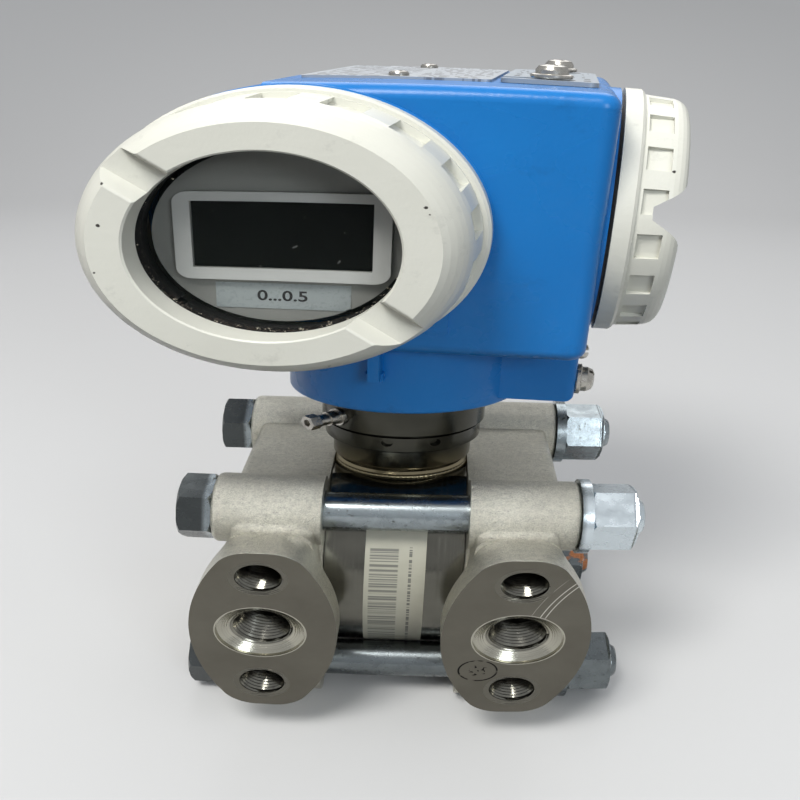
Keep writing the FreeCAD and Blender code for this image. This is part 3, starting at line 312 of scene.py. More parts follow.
# %% [markdown]
# ## Who is painted, and where it is chipped
#
# The housing is a deep blue and both covers are cream. Chips sit where tools and neighbours knock:
# on the face and rim of the covers, and low on the housing. Each is given from the seat of its
# cover, as so far to the side, up and out, so that the numbers read like a measuring sheet.

# %% Paint and chips
def dots(seat, *places):
    """Chips given as side, up, out and radius in millimetres from a seat."""
    return [(*seat.place(s * mm, u * mm, o * mm), r * mm) for s, u, o, r in places]


COVER_CHIPS = dots(window, (-27.6, 5.9, 25.1, 0.5), (-26.4, 16.3, 24.7, 0.35),
                   (-29.4, -6.5, 25.1, 0.3), (27.3, 12.0, 25.1, 0.4), (28.0, 10.4, 24.9, 0.3),
                   (25.4, -16.6, 25.1, 0.35), (11.7, -30.8, 22.6, 0.3), (33.5, 8.0, 18.0, 0.3))
TERMINAL_CHIPS = dots(terminal, (-30.0, 18.0, 10.0, 0.4), (12.0, 30.0, 11.0, 0.4))
HOUSING_CHIPS = dots(window, (47.0, -22.0, -1.0, 0.35), (52.0, -29.0, -1.0, 0.25),
                     (49.5, -32.5, -1.0, 0.25), (20.0, -44.0, -12.0, 0.3))

wear(powder_coat("housing_paint", (0.0085, 0.180, 0.520), (0.0070, 0.155, 0.465), 0.27,
                 HOUSING_CHIPS), "housing")
wear(powder_coat("cover_paint", (0.715, 0.710, 0.640), (0.660, 0.655, 0.585), 0.34,
                 COVER_CHIPS + TERMINAL_CHIPS), "display_cover", "terminal_cover")

# %% [markdown]
# ## Steel
#
# Four kinds of steel show here. The flanges are castings, blasted with beads: grey and grainy, with
# machined faces that are darker and smoother. The neck and the cell are turned, so their marks run
# round them. The bolts are zinc plated, which has a cold sheen, and the screws are plain.
#
# A flange is one solid with several finishes. It could be cut up and given a material for each
# surface, but the machining follows simple rules, so the material works out by itself where it is:
# in a bore is whatever lies near the bore's axis and not too deep behind the port plane, y = 0.
# The pattern is the same left and right, above and below, so x and z lose their sign first.

# %% Where a flange is machined
PORT_HALF, HOLE_HALF = 27.0 * mm, 20.65 * mm
CONE_R, CONE_DEEP = 9.85 * mm, 3.5 * mm
RIM_R, RIM_DEEP = 6.15 * mm, 0.7 * mm
PORT_BORE_R, HOLE_BORE_R, BORE_DEEP = 6.8 * mm, 5.2 * mm, 18 * mm


def from_axis(tree, place, half, height):
    """Distance in the port plane from the axes at x = +-half and z = +-height."""
    x, _, z = parts(tree, place)
    across = maths(tree, "SUBTRACT", maths(tree, "ABSOLUTE", x), half)
    up = maths(tree, "SUBTRACT", maths(tree, "ABSOLUTE", z), height)
    flat = add(tree, "ShaderNodeCombineXYZ", {"X": across, "Y": up}).outputs[0]
    return add(tree, "ShaderNodeVectorMath", {0: flat}, operation="LENGTH").outputs["Value"]


def within(tree, distance, radius, depth, floor):
    """1 inside a round recess: nearer to its axis than radius and less deep than floor."""
    return maths(tree, "MULTIPLY", ramp(tree, distance, radius + 0.05 * mm, radius),
                 ramp(tree, depth, floor + 0.1 * mm, floor))


print("ports", round(2 * PORT_HALF / mm, 1), "mm apart, holes", round(2 * HOLE_HALF / mm, 1))

# %% [markdown]
# ## Ink and scratches
#
# The right face carries an inspector's ring drawn in ink, with a smudged stamp in it, and three
# fine scratches, bent like the sweep of a tool. They could be thin solids laid on the face, but ink
# has no height. A ring is all the points at one distance from its middle, so a ramp on that
# distance draws it. A scratch is the same with a large radius, kept only between two heights.

# %% Marks on the milled face
INK_RING = ((19.2 * mm, 0.0, -12.6 * mm), 4.1 * mm, 0.26 * mm)
SCRATCHES = (((72.8 * mm, 0.0, -3.5 * mm), 42.6 * mm, 0.13 * mm),
             ((72.8 * mm, 0.0, -3.5 * mm), 43.7 * mm, 0.13 * mm),
             ((75.9 * mm, 0.0, -4.2 * mm), 48.8 * mm, 0.07 * mm))


def ring(tree, place, middle, radius, half_width):
    """1 where the distance from the middle is the radius, and 0 beyond half a line's width."""
    gap = add(tree, "ShaderNodeVectorMath", {0: place, 1: middle},
              operation="DISTANCE").outputs["Value"]
    off = maths(tree, "ABSOLUTE", maths(tree, "SUBTRACT", gap, radius))
    return ramp(tree, off, half_width, half_width * 0.5)


def milled_tone(tree, place, cloud):
    """Colour of the milled plane: grey steel with the ink ring and the scratches on it."""
    z = parts(tree, place)["Z"]
    tone = mix(tree, cloud, (0.128, 0.119, 0.098), (0.160, 0.150, 0.124))
    middle, radius = INK_RING[:2]
    ink = maths(tree, "MULTIPLY", ring(tree, place, *INK_RING),
                ramp(tree, noise(tree, place, 260.0, 2.0), 0.33, 0.38))
    stamp = maths(tree, "MULTIPLY", near(tree, place, middle, 0.6 * radius),
                  ramp(tree, noise(tree, place, 950.0, 1.0), 0.56, 0.60))
    ink = maths(tree, "MAXIMUM", ink, stamp)
    tone = mix(tree, ink, tone, (0.010, 0.010, 0.010))
    lines = [ring(tree, place, *line) for line in SCRATCHES]
    scratch = maths(tree, "MAXIMUM", maths(tree, "MAXIMUM", lines[0], lines[1]),
                    maths(tree, "MULTIPLY", lines[2], 0.5))
    on_arc = maths(tree, "MULTIPLY", ramp(tree, z, 7.5 * mm, 9.5 * mm),
                   ramp(tree, z, 24.0 * mm, 21.5 * mm))
    return mix(tree, maths(tree, "MULTIPLY", scratch, on_arc), tone, (0.62, 0.60, 0.54))


print("ink ring", round(2 * INK_RING[1] / mm, 1), "mm wide, scratches:", len(SCRATCHES))

# %% [markdown]
# ## The casting
#
# Beads leave steel with a fine grain over shallow dents, so two fields of different size are added,
# and the same sum gives the sparkle in the colour, the roughness and the height. The milled face
# keeps hardly any of it. In the bores the steel is turned, and deep inside it is painted dark, as
# painted shade where little light gets in.

# %% Cast flanges
def cast_flange():
    """Blasted casting, milled port plane, bores turned bright, with painted shade deep inside."""
    material, tree, shader, place = finish_named("cast_flange")
    y = parts(tree, place)["Y"]
    port = from_axis(tree, place, PORT_HALF, 0.0)
    hole = from_axis(tree, place, PORT_HALF, HOLE_HALF)
    cone = within(tree, port, CONE_R, y, CONE_DEEP)
    rim = within(tree, hole, RIM_R, y, RIM_DEEP)
    bore = maths(tree, "MAXIMUM", within(tree, port, PORT_BORE_R, y, BORE_DEEP),
                 within(tree, hole, HOLE_BORE_R, y, BORE_DEEP))
    bored = maths(tree, "MAXIMUM", maths(tree, "MAXIMUM", cone, rim), bore)
    deep = maths(tree, "MULTIPLY", bore, ramp(tree, y, 0.6 * mm, 5.0 * mm))
    milled = ramp(tree, y, 0.3 * mm, 0.1 * mm)
    cloud = ramp(tree, noise(tree, place, 60.0, 5.0, 0.6), 0.3, 0.7)
    grain = noise(tree, place, 2600.0, 3.0, 0.75)
    hammered = noise(tree, place, 800.0, 3.0, 0.6)
    grain = maths(tree, "MULTIPLY_ADD", hammered, 0.35, maths(tree, "MULTIPLY", grain, 0.65))
    cast = mix(tree, cloud, (0.70, 0.680, 0.590), (0.54, 0.520, 0.445))
    cast = mix(tree, ramp(tree, grain, 0.36, 0.58), (0.40, 0.39, 0.340), cast)
    tone = mix(tree, milled, cast, milled_tone(tree, place, cloud))
    turned = stripes(tree, port, 2300.0, 2.0)
    tone = mix(tree, rim, tone, (0.150, 0.142, 0.118))
    tone = mix(tree, cone, tone, mix(tree, turned, (0.52, 0.50, 0.42), (0.30, 0.29, 0.245)))
    # painted shade: deep in the bores the steel is painted nearly black
    tone = mix(tree, deep, tone, (0.045, 0.043, 0.038))
    rough = blend(tree, milled, ramp(tree, grain, 0.3, 0.7, 0.26, 0.42),
                  ramp(tree, cloud, 0.0, 1.0, 0.34, 0.42))
    set_inputs(tree, shader, Metallic=1.0, Base_Color=tone,
               Roughness=blend(tree, bored, rough, 0.2))
    rise = blend(tree, milled, grain, maths(tree, "MULTIPLY", grain, 0.08))
    rise = blend(tree, bored, rise, maths(tree, "MULTIPLY", turned, 0.10))
    set_bump(tree, shader, rise, 0.55 * mm)
    return material


wear(cast_flange(), "flange_left", "flange_right")

# %% [markdown]
# ## Neck and cell
#
# Turned steel has fine rings across its axis. Real grooves would take thousands of faces, and they
# are too shallow to see one by one. A random field of one number, the place along that axis, is the
# same all round, so it draws them. The neck was welded to the cell, and the heat left a
# straw-coloured band above the weld.

# %% Turned steel
def turned_steel(name, colour, axis, rough=0.2, tint=None):
    """Steel with fine rings across the named axis; tint is (low z, high z, colour) of a band."""
    material, tree, shader, place = finish_named(name)
    rings = stripes(tree, parts(tree, place)[axis], 1400.0, 3.0)
    cloud = noise(tree, place, 90.0, 4.0)
    dark = tuple(0.7 * c for c in colour)
    tone = mix(tree, ramp(tree, cloud, 0.35, 0.7), colour, dark)
    if tint:
        low, high, warm = tint
        z = parts(tree, place)["Z"]
        z = maths(tree, "ADD", z, ramp(tree, cloud, 0.0, 1.0, -1.5 * mm, 1.5 * mm))
        tone = mix(tree, ramp(tree, z, high, low), tone, warm)
    set_inputs(tree, shader, Metallic=1.0, Base_Color=tone,
               Roughness=ramp(tree, rings, 0.3, 0.7, rough - 0.05, rough + 0.06))
    set_bump(tree, shader, rings, 0.003 * mm)
    return material


weld_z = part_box("neck")[0].z
# painted shade: the neck's steel is painted far darker than the cell's, for the shade and dark
# reflections under the housing
neck_steel = turned_steel("neck_steel", (0.060, 0.059, 0.049), "Z",
                          tint=(weld_z + 2 * mm, weld_z + 10 * mm, (0.24, 0.205, 0.13)))
cell_steel = turned_steel("cell_steel", (0.155, 0.150, 0.128), "X", 0.16)
wear(neck_steel, "neck")
wear(cell_steel, "cell_body", "diaphragm_left", "diaphragm_right")

# %% [markdown]
# ## Bolts and nuts
#
# Four long bolts clamp the flanges, and their heads are all on the left. They are plated with zinc,
# which is bluish and patchy. The nut in front and above is painted paler, a painted highlight, and
# the heads and the lower pair are painted darker, a painted shade. Rust has started at three of the
# tips, worst at the back below. One material tells them apart by their place, so that all the bolts
# can stay one solid. The thread that stands out of a nut is a sine wave along the bolt, which only
# bends the light.

# %% Zinc plate
BOLT_PITCH = 1.75 * mm
BOLT_REAR_Y = 82 * mm
HEADS_X, NUTS_X = -40 * mm, 39 * mm
bolt_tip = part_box("flange_bolts")[1].x
WORST_RUST = (bolt_tip - 3 * mm, BOLT_REAR_Y, -27 * mm)
SLIGHT_RUST = ((bolt_tip - 2 * mm, 28 * mm, -33 * mm), (bolt_tip - 2 * mm, BOLT_REAR_Y, 21 * mm))


def zinc_plate():
    """Zinc plated bolts: cold sheen, thread on the tips, and rust where water stood."""
    material, tree, shader, place = finish_named("zinc_plate")
    x, y, z = parts(tree, place)
    patch = noise(tree, place, 260.0, 5.0, 0.6)
    worst = near(tree, place, WORST_RUST, 7 * mm, 0.4)
    slight = maths(tree, "MAXIMUM", near(tree, place, SLIGHT_RUST[0], 5 * mm),
                   near(tree, place, SLIGHT_RUST[1], 4 * mm))
    rust = maths(tree, "MULTIPLY_ADD", worst, 0.30, maths(tree, "MULTIPLY", slight, 0.14))
    rust = maths(tree, "MULTIPLY", ramp(tree, maths(tree, "ADD", patch, rust), 0.66, 0.76),
                 ramp(tree, maths(tree, "MAXIMUM", worst, slight), 0.0, 0.3))
    plate = mix(tree, ramp(tree, patch, 0.35, 0.65), (0.33, 0.37, 0.385), (0.24, 0.27, 0.285))
    grime = ramp(tree, noise(tree, place, 700.0, 3.0), 0.62, 0.74)
    plate = mix(tree, grime, plate, (0.10, 0.11, 0.105))
    # painted shade: the heads and the lower pair are painted darker
    heads_low_painted_shade = maths(tree, "MAXIMUM", ramp(tree, x, HEADS_X, HEADS_X - 1 * mm),
                 ramp(tree, z, 0.0, -5 * mm, 0.0, 0.6))
    plate = mix(tree, heads_low_painted_shade, plate, (0.075, 0.082, 0.083))
    # painted highlight: the nut in front and above is painted paler
    front_top = maths(tree, "MULTIPLY", ramp(tree, y, 60 * mm, 50 * mm),
                      ramp(tree, z, 0.0, 2 * mm))
    front_nut_painted_highlight = maths(tree, "MULTIPLY", ramp(tree, x, NUTS_X, NUTS_X + 1 * mm, 0.0, 0.7), front_top)
    plate = mix(tree, front_nut_painted_highlight, plate, (0.78, 0.86, 0.91))
    set_inputs(tree, shader, Base_Color=mix(tree, rust, plate, (0.42, 0.15, 0.05)),
               Metallic=maths(tree, "SUBTRACT", 1.0, rust),
               Roughness=ramp(tree, patch, 0.3, 0.7, 0.20, 0.32))
    wave = maths(tree, "SINE", maths(tree, "MULTIPLY", x, 2 * math.pi / BOLT_PITCH))
    bare = ramp(tree, x, bolt_tip - 3.2 * mm, bolt_tip - 2.6 * mm, 0.0, 3.0)
    rise = maths(tree, "ADD", maths(tree, "MULTIPLY", wave, bare),
                 maths(tree, "MULTIPLY", patch, 0.6))
    set_bump(tree, shader, rise, 0.05 * mm)
    return material


wear(zinc_plate(), "flange_bolts", "flange_nuts", "flange_washers")

# %% [markdown]
# ## Screws
#
# The small screws, washers, plugs and clips are bright steel, rubbed here and there by a driver or
# a finger. A single field darkens and roughens it in the same places, which is what wear does.

# %% Plain steel
def plain_steel(name, colour, rough):
    """Bright screws: plain steel with a little wear."""
    material, tree, shader, place = finish_named(name)
    worn = noise(tree, place, 500.0, 4.0)
    dark = tuple(0.6 * c for c in colour)
    set_inputs(tree, shader, Metallic=1.0,
               Base_Color=mix(tree, ramp(tree, worn, 0.5, 0.75), colour, dark),
               Roughness=ramp(tree, worn, 0.3, 0.7, rough - 0.06, rough + 0.12))
    set_bump(tree, shader, worn, 0.02 * mm)
    return material


wear(plain_steel("screw_steel", (0.46, 0.44, 0.40), 0.26), "name_screws", "flap_screws",
     "flap_washers", "ground_screw", "claw_screw", "lock_screw", "circlip", "rear_plug_left",
     "rear_plug_right", "pressure_sensor", "electronics_screws", "terminal_screws",
     "inner_ground_screw", "blanking_plug")

# %% [markdown]
# ## Printed plates
#
# The roof carries a name plate and the flap over the keys, both of thin brushed steel. What is
# printed on them stays unreadable: rows of dashes stand for lines of text. A picture could show
# them, but a rule is lighter and stays sharp. A row is the whole part of the distance divided by
# the row's height. A random field along the row, moved on by a different amount for each row,
# breaks it into words. The plates lie square to the housing, so the place is turned back first.

# %% Name plate and flap
def dashes(tree, along, across, row, word, density=0.5, shift=37.0):
    """1 on the dashes: rows of that height, broken into words of about that length."""
    line = maths(tree, "DIVIDE", across, row)
    number = maths(tree, "FLOOR", line)
    height = maths(tree, "FRACT", line)
    body = maths(tree, "MULTIPLY", ramp(tree, height, 0.22, 0.27), ramp(tree, height, 0.72, 0.67))
    run = maths(tree, "MULTIPLY_ADD", number, shift, maths(tree, "DIVIDE", along, word))
    words = stripes(tree, run, 1.0, 1.0)
    return maths(tree, "MULTIPLY", body, ramp(tree, words, density, density + 0.03))


def name_plate_finish(name, base, ink, rows):
    """Brushed plate; each of rows is (row height, word length, least x, greatest x, density)."""
    material, tree, shader, place = finish_named(name)
    local = seen_from(tree, place, tuple(roof.origin), HOUSING_TURN)
    x, y, _ = parts(tree, local)
    brushed = stripes(tree, y, 2600.0, 2.0)
    tone = mix(tree, brushed, base, tuple(0.86 * c for c in base))
    for row, word, low, high, density in rows:
        inside = maths(tree, "MULTIPLY", ramp(tree, x, low, low + 0.1 * mm),
                       ramp(tree, x, high, high - 0.1 * mm))
        marks = maths(tree, "MULTIPLY", inside, dashes(tree, x, y, row, word, density))
        tone = mix(tree, marks, tone, ink)
    set_inputs(tree, shader, Metallic=0.6, Base_Color=tone,
               Roughness=ramp(tree, brushed, 0.3, 0.7, 0.34, 0.46))
    set_bump(tree, shader, brushed, 0.01 * mm)
    return material


wear(name_plate_finish("name_plate_finish", (0.44, 0.47, 0.50), (0.05, 0.045, 0.05),
                       ((3.1 * mm, 3.2 * mm, -20 * mm, -2 * mm, 0.47),
                        (5.2 * mm, 2.0 * mm, 0 * mm, 13.5 * mm, 0.5))), "name_plate")
wear(name_plate_finish("flap_finish", (0.36, 0.40, 0.44), (0.04, 0.04, 0.045),
                       ((9.5 * mm, 2.4 * mm, 18 * mm, 33 * mm, 0.52),)), "key_flap")

# %% [markdown]
# ## Cell label
#
# The cell has a cream paper label round its front: a block of uneven bars, and a column of small
# marks beside it. Bars are stripes again, cut off hard by a ramp where the field passes its middle.
# Where each block begins and ends is a share of the label's width, read from the solid.

# %% Cell label
LABEL_PRINT_LOW, LABEL_PRINT_HIGH = -30 * mm, 18 * mm


def label_finish():
    """Cream paper label: a block of uneven bars on one side, a column of short marks beside it."""
    material, tree, shader, place = finish_named("label_finish")
    x, _, z = parts(tree, place)
    lo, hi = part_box("cell_label")
    width = hi.x - lo.x
    share = ramp(tree, x, lo.x, hi.x)
    bars = ramp(tree, stripes(tree, z, 1250.0, 1.0), 0.47, 0.53)
    block = maths(tree, "MULTIPLY", ramp(tree, share, 0.07, 0.09), ramp(tree, share, 0.56, 0.54))
    tall = maths(tree, "MULTIPLY",
                 ramp(tree, z, LABEL_PRINT_LOW, LABEL_PRINT_LOW + 0.2 * mm),
                 ramp(tree, z, LABEL_PRINT_HIGH + 0.2 * mm, LABEL_PRINT_HIGH))
    paper = mix(tree, noise(tree, place, 260.0, 3.0), (0.44, 0.43, 0.355), (0.36, 0.35, 0.285))
    tone = mix(tree, maths(tree, "MULTIPLY", maths(tree, "MULTIPLY", bars, block), tall), paper,
               (0.16, 0.16, 0.14))
    column = maths(tree, "MULTIPLY", ramp(tree, share, 0.68, 0.69), ramp(tree, share, 0.80, 0.79))
    marks = dashes(tree, z, x, width * 0.11, 0.9 * mm, 0.46)
    marks = maths(tree, "MULTIPLY", maths(tree, "MULTIPLY", marks, column), tall)
    set_inputs(tree, shader, Base_Color=mix(tree, marks, tone, (0.13, 0.13, 0.115)),
               Roughness=0.42)
    set_bump(tree, shader, noise(tree, place, 700.0), 0.02 * mm)
    return material


wear(label_finish(), "cell_label")

# %% [markdown]
# ## Plastics and rubber
#
# Moulded parts take the fine grain of their mould. They differ by colour and gloss only, so one
# recipe serves them all: seals, gland, keys, board, potted blocks and the plate for the range.

# %% Plastics and rubber
MOULD_GRAIN, MOULD_RISE = 1200.0, 0.02 * mm


def moulded(name, colour, rough):
    """Moulded plastic or rubber with a fine grain."""
    material, tree, shader, place = finish_named(name)
    fine = noise(tree, place, MOULD_GRAIN, 3.0)
    dark = tuple(0.8 * c for c in colour)
    set_inputs(tree, shader, Base_Color=mix(tree, noise(tree, place, 45.0), colour, dark),
               Roughness=ramp(tree, fine, 0.3, 0.7, rough - 0.06, rough + 0.06))
    set_bump(tree, shader, fine, MOULD_RISE)
    return material


wear(moulded("black_rubber", (0.012, 0.012, 0.012), 0.5), "display_cover_seal",
     "terminal_cover_seal", "window_gasket", "window_retainer", "neck_seal", "flange_seal_left",
     "flange_seal_right", "gland_seal")
wear(moulded("board_green", (0.02, 0.13, 0.05), 0.4), "display_board")
wear(moulded("potting_black", (0.02, 0.02, 0.022), 0.45), "electronics", "terminal_block",
     "feed_tube")
wear(moulded("key_black", (0.03, 0.03, 0.035), 0.4), "key_zero", "key_span", "key_enter")
wear(moulded("gland_black", (0.025, 0.025, 0.028), 0.5), "gland_body", "gland_nut", "vent_filter")
wear(moulded("range_plate_grey", (0.36, 0.40, 0.40), 0.3), "range_plate")

# %% [markdown]
# ## Display and window
#
# Behind the window sits a moulded module with a raised frame round a dark panel. The plate behind
# the frame is painted darker than the frame, as painted shade in the recess. The frame could be a
# part of its own, but how far out a point lies tells the two apart: the place, measured along the
# window's axis.
#
# The window is a thick disc of toughened glass with a coat against glare. It throws back little
# light, and what lies behind it shows through with its shadows. Glass that bends the light would
# lose those shadows and add a haze. A low alpha keeps them: most of the disc is not there for
# light, and the rest is the gloss and a faint smear.

# %% Display and window
def module_finish():
    """Moulded grey: the plate behind the raised frame is darker, as painted shade in the recess."""
    material, tree, shader, place = finish_named("module_grey")
    front = window.span("display_module", window.out)[1] + float(window.origin @ window.out)
    out = add(tree, "ShaderNodeVectorMath", {0: place, 1: tuple(window.out)},
              operation="DOT_PRODUCT").outputs["Value"]
    raised = ramp(tree, out, front - 0.5 * mm, front - 0.3 * mm)
    fine = noise(tree, place, MOULD_GRAIN, 3.0)
    # painted shade: the plate behind the frame is painted darker than the frame
    tone = mix(tree, raised, (0.27, 0.275, 0.255), (0.54, 0.55, 0.53))
    set_inputs(tree, shader, Base_Color=tone, Roughness=ramp(tree, fine, 0.3, 0.7, 0.36, 0.48))
    set_bump(tree, shader, fine, MOULD_RISE)
    return material


def lcd_finish():
    """Dark panel with a glossy front and a few grains of dust."""
    material, tree, shader, place = finish_named("lcd_finish")
    dust = ramp(tree, noise(tree, place, 1300.0, 0.0), 0.83, 0.85)
    tone = mix(tree, dust, (0.003, 0.0035, 0.003), (0.25, 0.25, 0.24))
    set_inputs(tree, shader, Base_Color=tone, Specular_IOR_Level=0.02,
               Roughness=ramp(tree, dust, 0.0, 1.0, 0.15, 0.6))
    return material


def clear_glass():
    """Coated glass disc: nearly all of it is clear, and a faint smear shows on the rest."""
    material, tree, shader, place = finish_named("window_glass")
    smear = ramp(tree, noise(tree, place, 70.0, 4.0), 0.4, 0.75, 0.05, 0.09)
    set_inputs(tree, shader, Base_Color=(0.02, 0.028, 0.025), Roughness=0.03, IOR=1.45,
               Alpha=smear)
    return material


wear(module_finish(), "display_module")
wear(lcd_finish(), "lcd_panel")
wear(clear_glass(), "window_glass")

# %% [markdown]
# ## Surfaces from numbers
#
# The finer pieces are grids of points worked out with arrays, all points at once. A loop over
# points would do the same, but far slower, and it hides the formula. Neighbours in the grid become
# four-sided faces, and a grid may be closed on itself in either direction. On a closed shell the
# faces are then turned outwards in one go, and edges steeper than a limit stay sharp. Each piece
# then rides on the body that it moves with.

# %% Grid helpers
def grid_faces(rows, columns, close_rows=False, close_columns=False):
    """Quads between neighbouring points of a grid, as rows of point numbers."""
    number = np.arange(rows * columns).reshape(rows, columns)
    if close_rows:
        number = np.vstack([number, number[:1]])
    if close_columns:
        number = np.hstack([number, number[:, :1]])
    corner = (number[:-1, :-1], number[1:, :-1], number[1:, 1:], number[:-1, 1:])
    return np.stack(corner, -1).reshape(-1, 4).tolist()


def piece(name, points, faces, body, material, sharp=25):
    """Mesh of those points and faces, turned outwards, sharp past that angle, riding a body."""
    mesh = bpy.data.meshes.new(name)
    mesh.from_pydata(np.asarray(points, float).reshape(-1, 3).tolist(), [], faces)
    shell = bmesh.new()
    shell.from_mesh(mesh)
    bmesh.ops.recalc_face_normals(shell, faces=shell.faces)
    shell.to_mesh(mesh)
    shell.free()
    mesh.shade_smooth()
    mesh.set_sharp_from_angle(angle=math.radians(sharp))
    mesh.materials.append(material)
    made = bpy.data.objects.new(name, mesh)
    bpy.context.scene.collection.objects.link(made)
    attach(made, body)
    print(name, len(mesh.polygons), "faces")

# %% [markdown]
# ## Threads in the flanges
#
# Each face has a tapered pipe thread between two screw holes. In the solids they are plain bores,
# and a bump would stay flat where the eye looks along it, so the threads are real surfaces. A
# thread is a ridge wound round an axis. Its section is carried along a helix: at each angle the
# section keeps its radii, and moves on by one pitch a turn. The ridge fades in and out over half a
# turn, as a tap leaves it, and its foot is sunk in the wall of the bore, so that no gap shows.

# %% Threads
STEPS_A_TURN = 40
CREST = np.array([0, 1, 1, 0, 0, 0])
FOOT = np.array([0, 0, 0, 0, 1, 1]) * 0.15 * mm
ALONG = np.array([-0.49, -0.10, 0.10, 0.49, 0.49, -0.49])


def inner_thread(name, x, z, radius, pitch, depth, start, length):
    """Radius = bore - depth * CREST + FOOT; distance in = start + pitch * (turns + ALONG)."""
    hole = Seat((x, 0.0, z), (0, -1, 0))
    turns = length / pitch
    turn = np.linspace(0, turns, int(turns * STEPS_A_TURN) + 1)[:, None]
    fade = np.minimum(1, np.minimum(turn, turns - turn) * 2 + 0.02)
    across = pitch * ALONG
    height = depth * fade * CREST - FOOT
    r, angle = radius - height, -2 * np.pi * turn
    points = hole.place(r * np.cos(angle), r * np.sin(angle), -start - pitch * turn - across)
    rows, columns = points.shape[:2]
    faces = grid_faces(rows, columns, close_columns=True)
    last = (rows - 1) * columns
    faces += [list(range(columns)), list(range(last, last + columns))]
    piece(name, points, faces, "sensor", shaded_thread_steel)


# Radius of the bore, pitch, depth of the ridge, where it starts, and its length.
PORT_THREAD = [v * mm for v in (6.2, 1.411, 0.55, 3.2, 13.0)]
HOLE_THREAD = [v * mm for v in (4.95, 1.27, 0.42, 0.9, 15.0)]
# painted shade: the threads' steel is painted far darker than the screw steel, for the dark bores
shaded_thread_steel = plain_steel("shaded_thread_steel", (0.20, 0.195, 0.17), 0.14)
for word, side in (("left", -1), ("right", 1)):
    inner_thread(f"port_thread_{word}", side * PORT_HALF, 0.0, *PORT_THREAD)
    for level, sign in (("upper", 1), ("lower", -1)):
        inner_thread(f"hole_thread_{level}_{word}", side * PORT_HALF, sign * HOLE_HALF,
                     *HOLE_THREAD)

# %% [markdown]
# ## Weld
#
# The neck is welded to the cell. A weld bead is a ring whose thickness swells a little with every
# drop of the melt: a torus with its small radius rippled along the way. Blender has a ready torus,
# but the ripples would have to be pushed into it afterwards. Here they are part of the formula.

# %% Weld bead
WELD_STEPS, WELD_SIDES = 720, 14
WELD_R, WELD_THICK, WELD_DROPS = 15.3 * mm, 0.7 * mm, 84


def weld_bead(name, middle):
    """Torus: small radius = WELD_THICK * (1 + 0.14 * |sin(WELD_DROPS * angle / 2)|)."""
    angle = np.linspace(0, 2 * np.pi, WELD_STEPS, endpoint=False)[:, None]
    round_it = np.linspace(0, 2 * np.pi, WELD_SIDES, endpoint=False)[None, :]
    small = WELD_THICK * (1 + 0.14 * np.abs(np.sin(WELD_DROPS * angle / 2)))
    r = WELD_R + small * np.cos(round_it)
    points = middle + np.stack([r * np.cos(angle), r * np.sin(angle),
                                small * np.sin(round_it) + 0 * angle], -1)
    piece(name, points, grid_faces(WELD_STEPS, WELD_SIDES, True, True), "sensor",
          neck_steel, sharp=35)


weld_bead("neck_weld", np.array([*joints["housing_swivel"]["pos_m"][:2], weld_z + 0.4 * mm]))

# %% [markdown]
# ## Range print
#
# The plate under the display states the range in plain, rather bold figures. They are read, so
# they are real shapes and not a pattern. Blender's text object draws them. It is made a mesh first,
# then its points are carried to the plate, so that the finished piece sits at the origin.

# %% Range figures
FIGURE_SIZE, FIGURE_THICK, FIGURE_BOLD, FIGURE_LIFT = (v * mm for v in (4.0, 0.03, 0.07, 0.02))


def figures(name, text, seat, side, up, out):
    """Flat text, thickened a little, with its middle at (side, up, out) from a seat."""
    curve = bpy.data.curves.new(name, "FONT")
    curve.body, curve.size = text, FIGURE_SIZE
    curve.extrude, curve.offset = FIGURE_THICK, FIGURE_BOLD
    curve.align_x, curve.align_y = "CENTER", "CENTER"
    holder = bpy.data.objects.new(name, curve)
    bpy.context.scene.collection.objects.link(holder)
    bpy.context.view_layer.update()
    state = bpy.context.evaluated_depsgraph_get()
    mesh = bpy.data.meshes.new_from_object(holder.evaluated_get(state))
    flat = np.empty(3 * len(mesh.vertices), np.float32)
    mesh.vertices.foreach_get("co", flat)
    spots = flat.reshape(-1, 3)
    points = seat.place(side + spots[:, 0], up + spots[:, 1], out + spots[:, 2])
    faces = [list(face.vertices) for face in mesh.polygons]
    bpy.data.objects.remove(holder)
    piece(name, points, faces, "housing", print_black)


print_black = moulded("print_black", (0.012, 0.012, 0.013), 0.45)
plate_side = sum(window.span("range_plate", window.side)) / 2
plate_up = sum(window.span("range_plate", window.up)) / 2
plate_front = window.span("range_plate", window.out)[1]
figures("range_figures", "0...0.5", window, plate_side, plate_up, plate_front + FIGURE_LIFT)

# %% [markdown]
# ## Dirt in the window
#
# Crumbs of old seal and dust lie along the lower edge of the glass, behind the ring. Speckles in
# the rubber would look flat there, so each grain is an eight-sided lump. The lumps are one small
# shape, turned, sized and placed many times at once: an array of places is added to an array of
# turned corners. The draws start from a fixed seed, so every run strews them alike.

# %% Crumbs
CORNERS = np.array([(1, 0, 0), (-1, 0, 0), (0, 1, 0), (0, -1, 0), (0, 0, 1), (0, 0, -1)], float)
SIDES = np.array([(0, 2, 4), (2, 1, 4), (1, 3, 4), (3, 0, 4),
                  (2, 0, 5), (1, 2, 5), (3, 1, 5), (0, 3, 5)])
# The middle of the heap and its spread in degrees, counted from the side of the window.
HEAP_AT, HEAP_SPREAD = -105, 38
# In millimetres: the ledge's place inside the gasket's edge, its width, and the lumps on it.
LEDGE_INSET, LEDGE_WIDTH, LUMP_LIFT = 3.65, 0.9, 0.12
LUMP_LEAST, LUMP_MORE = 0.10, 0.16


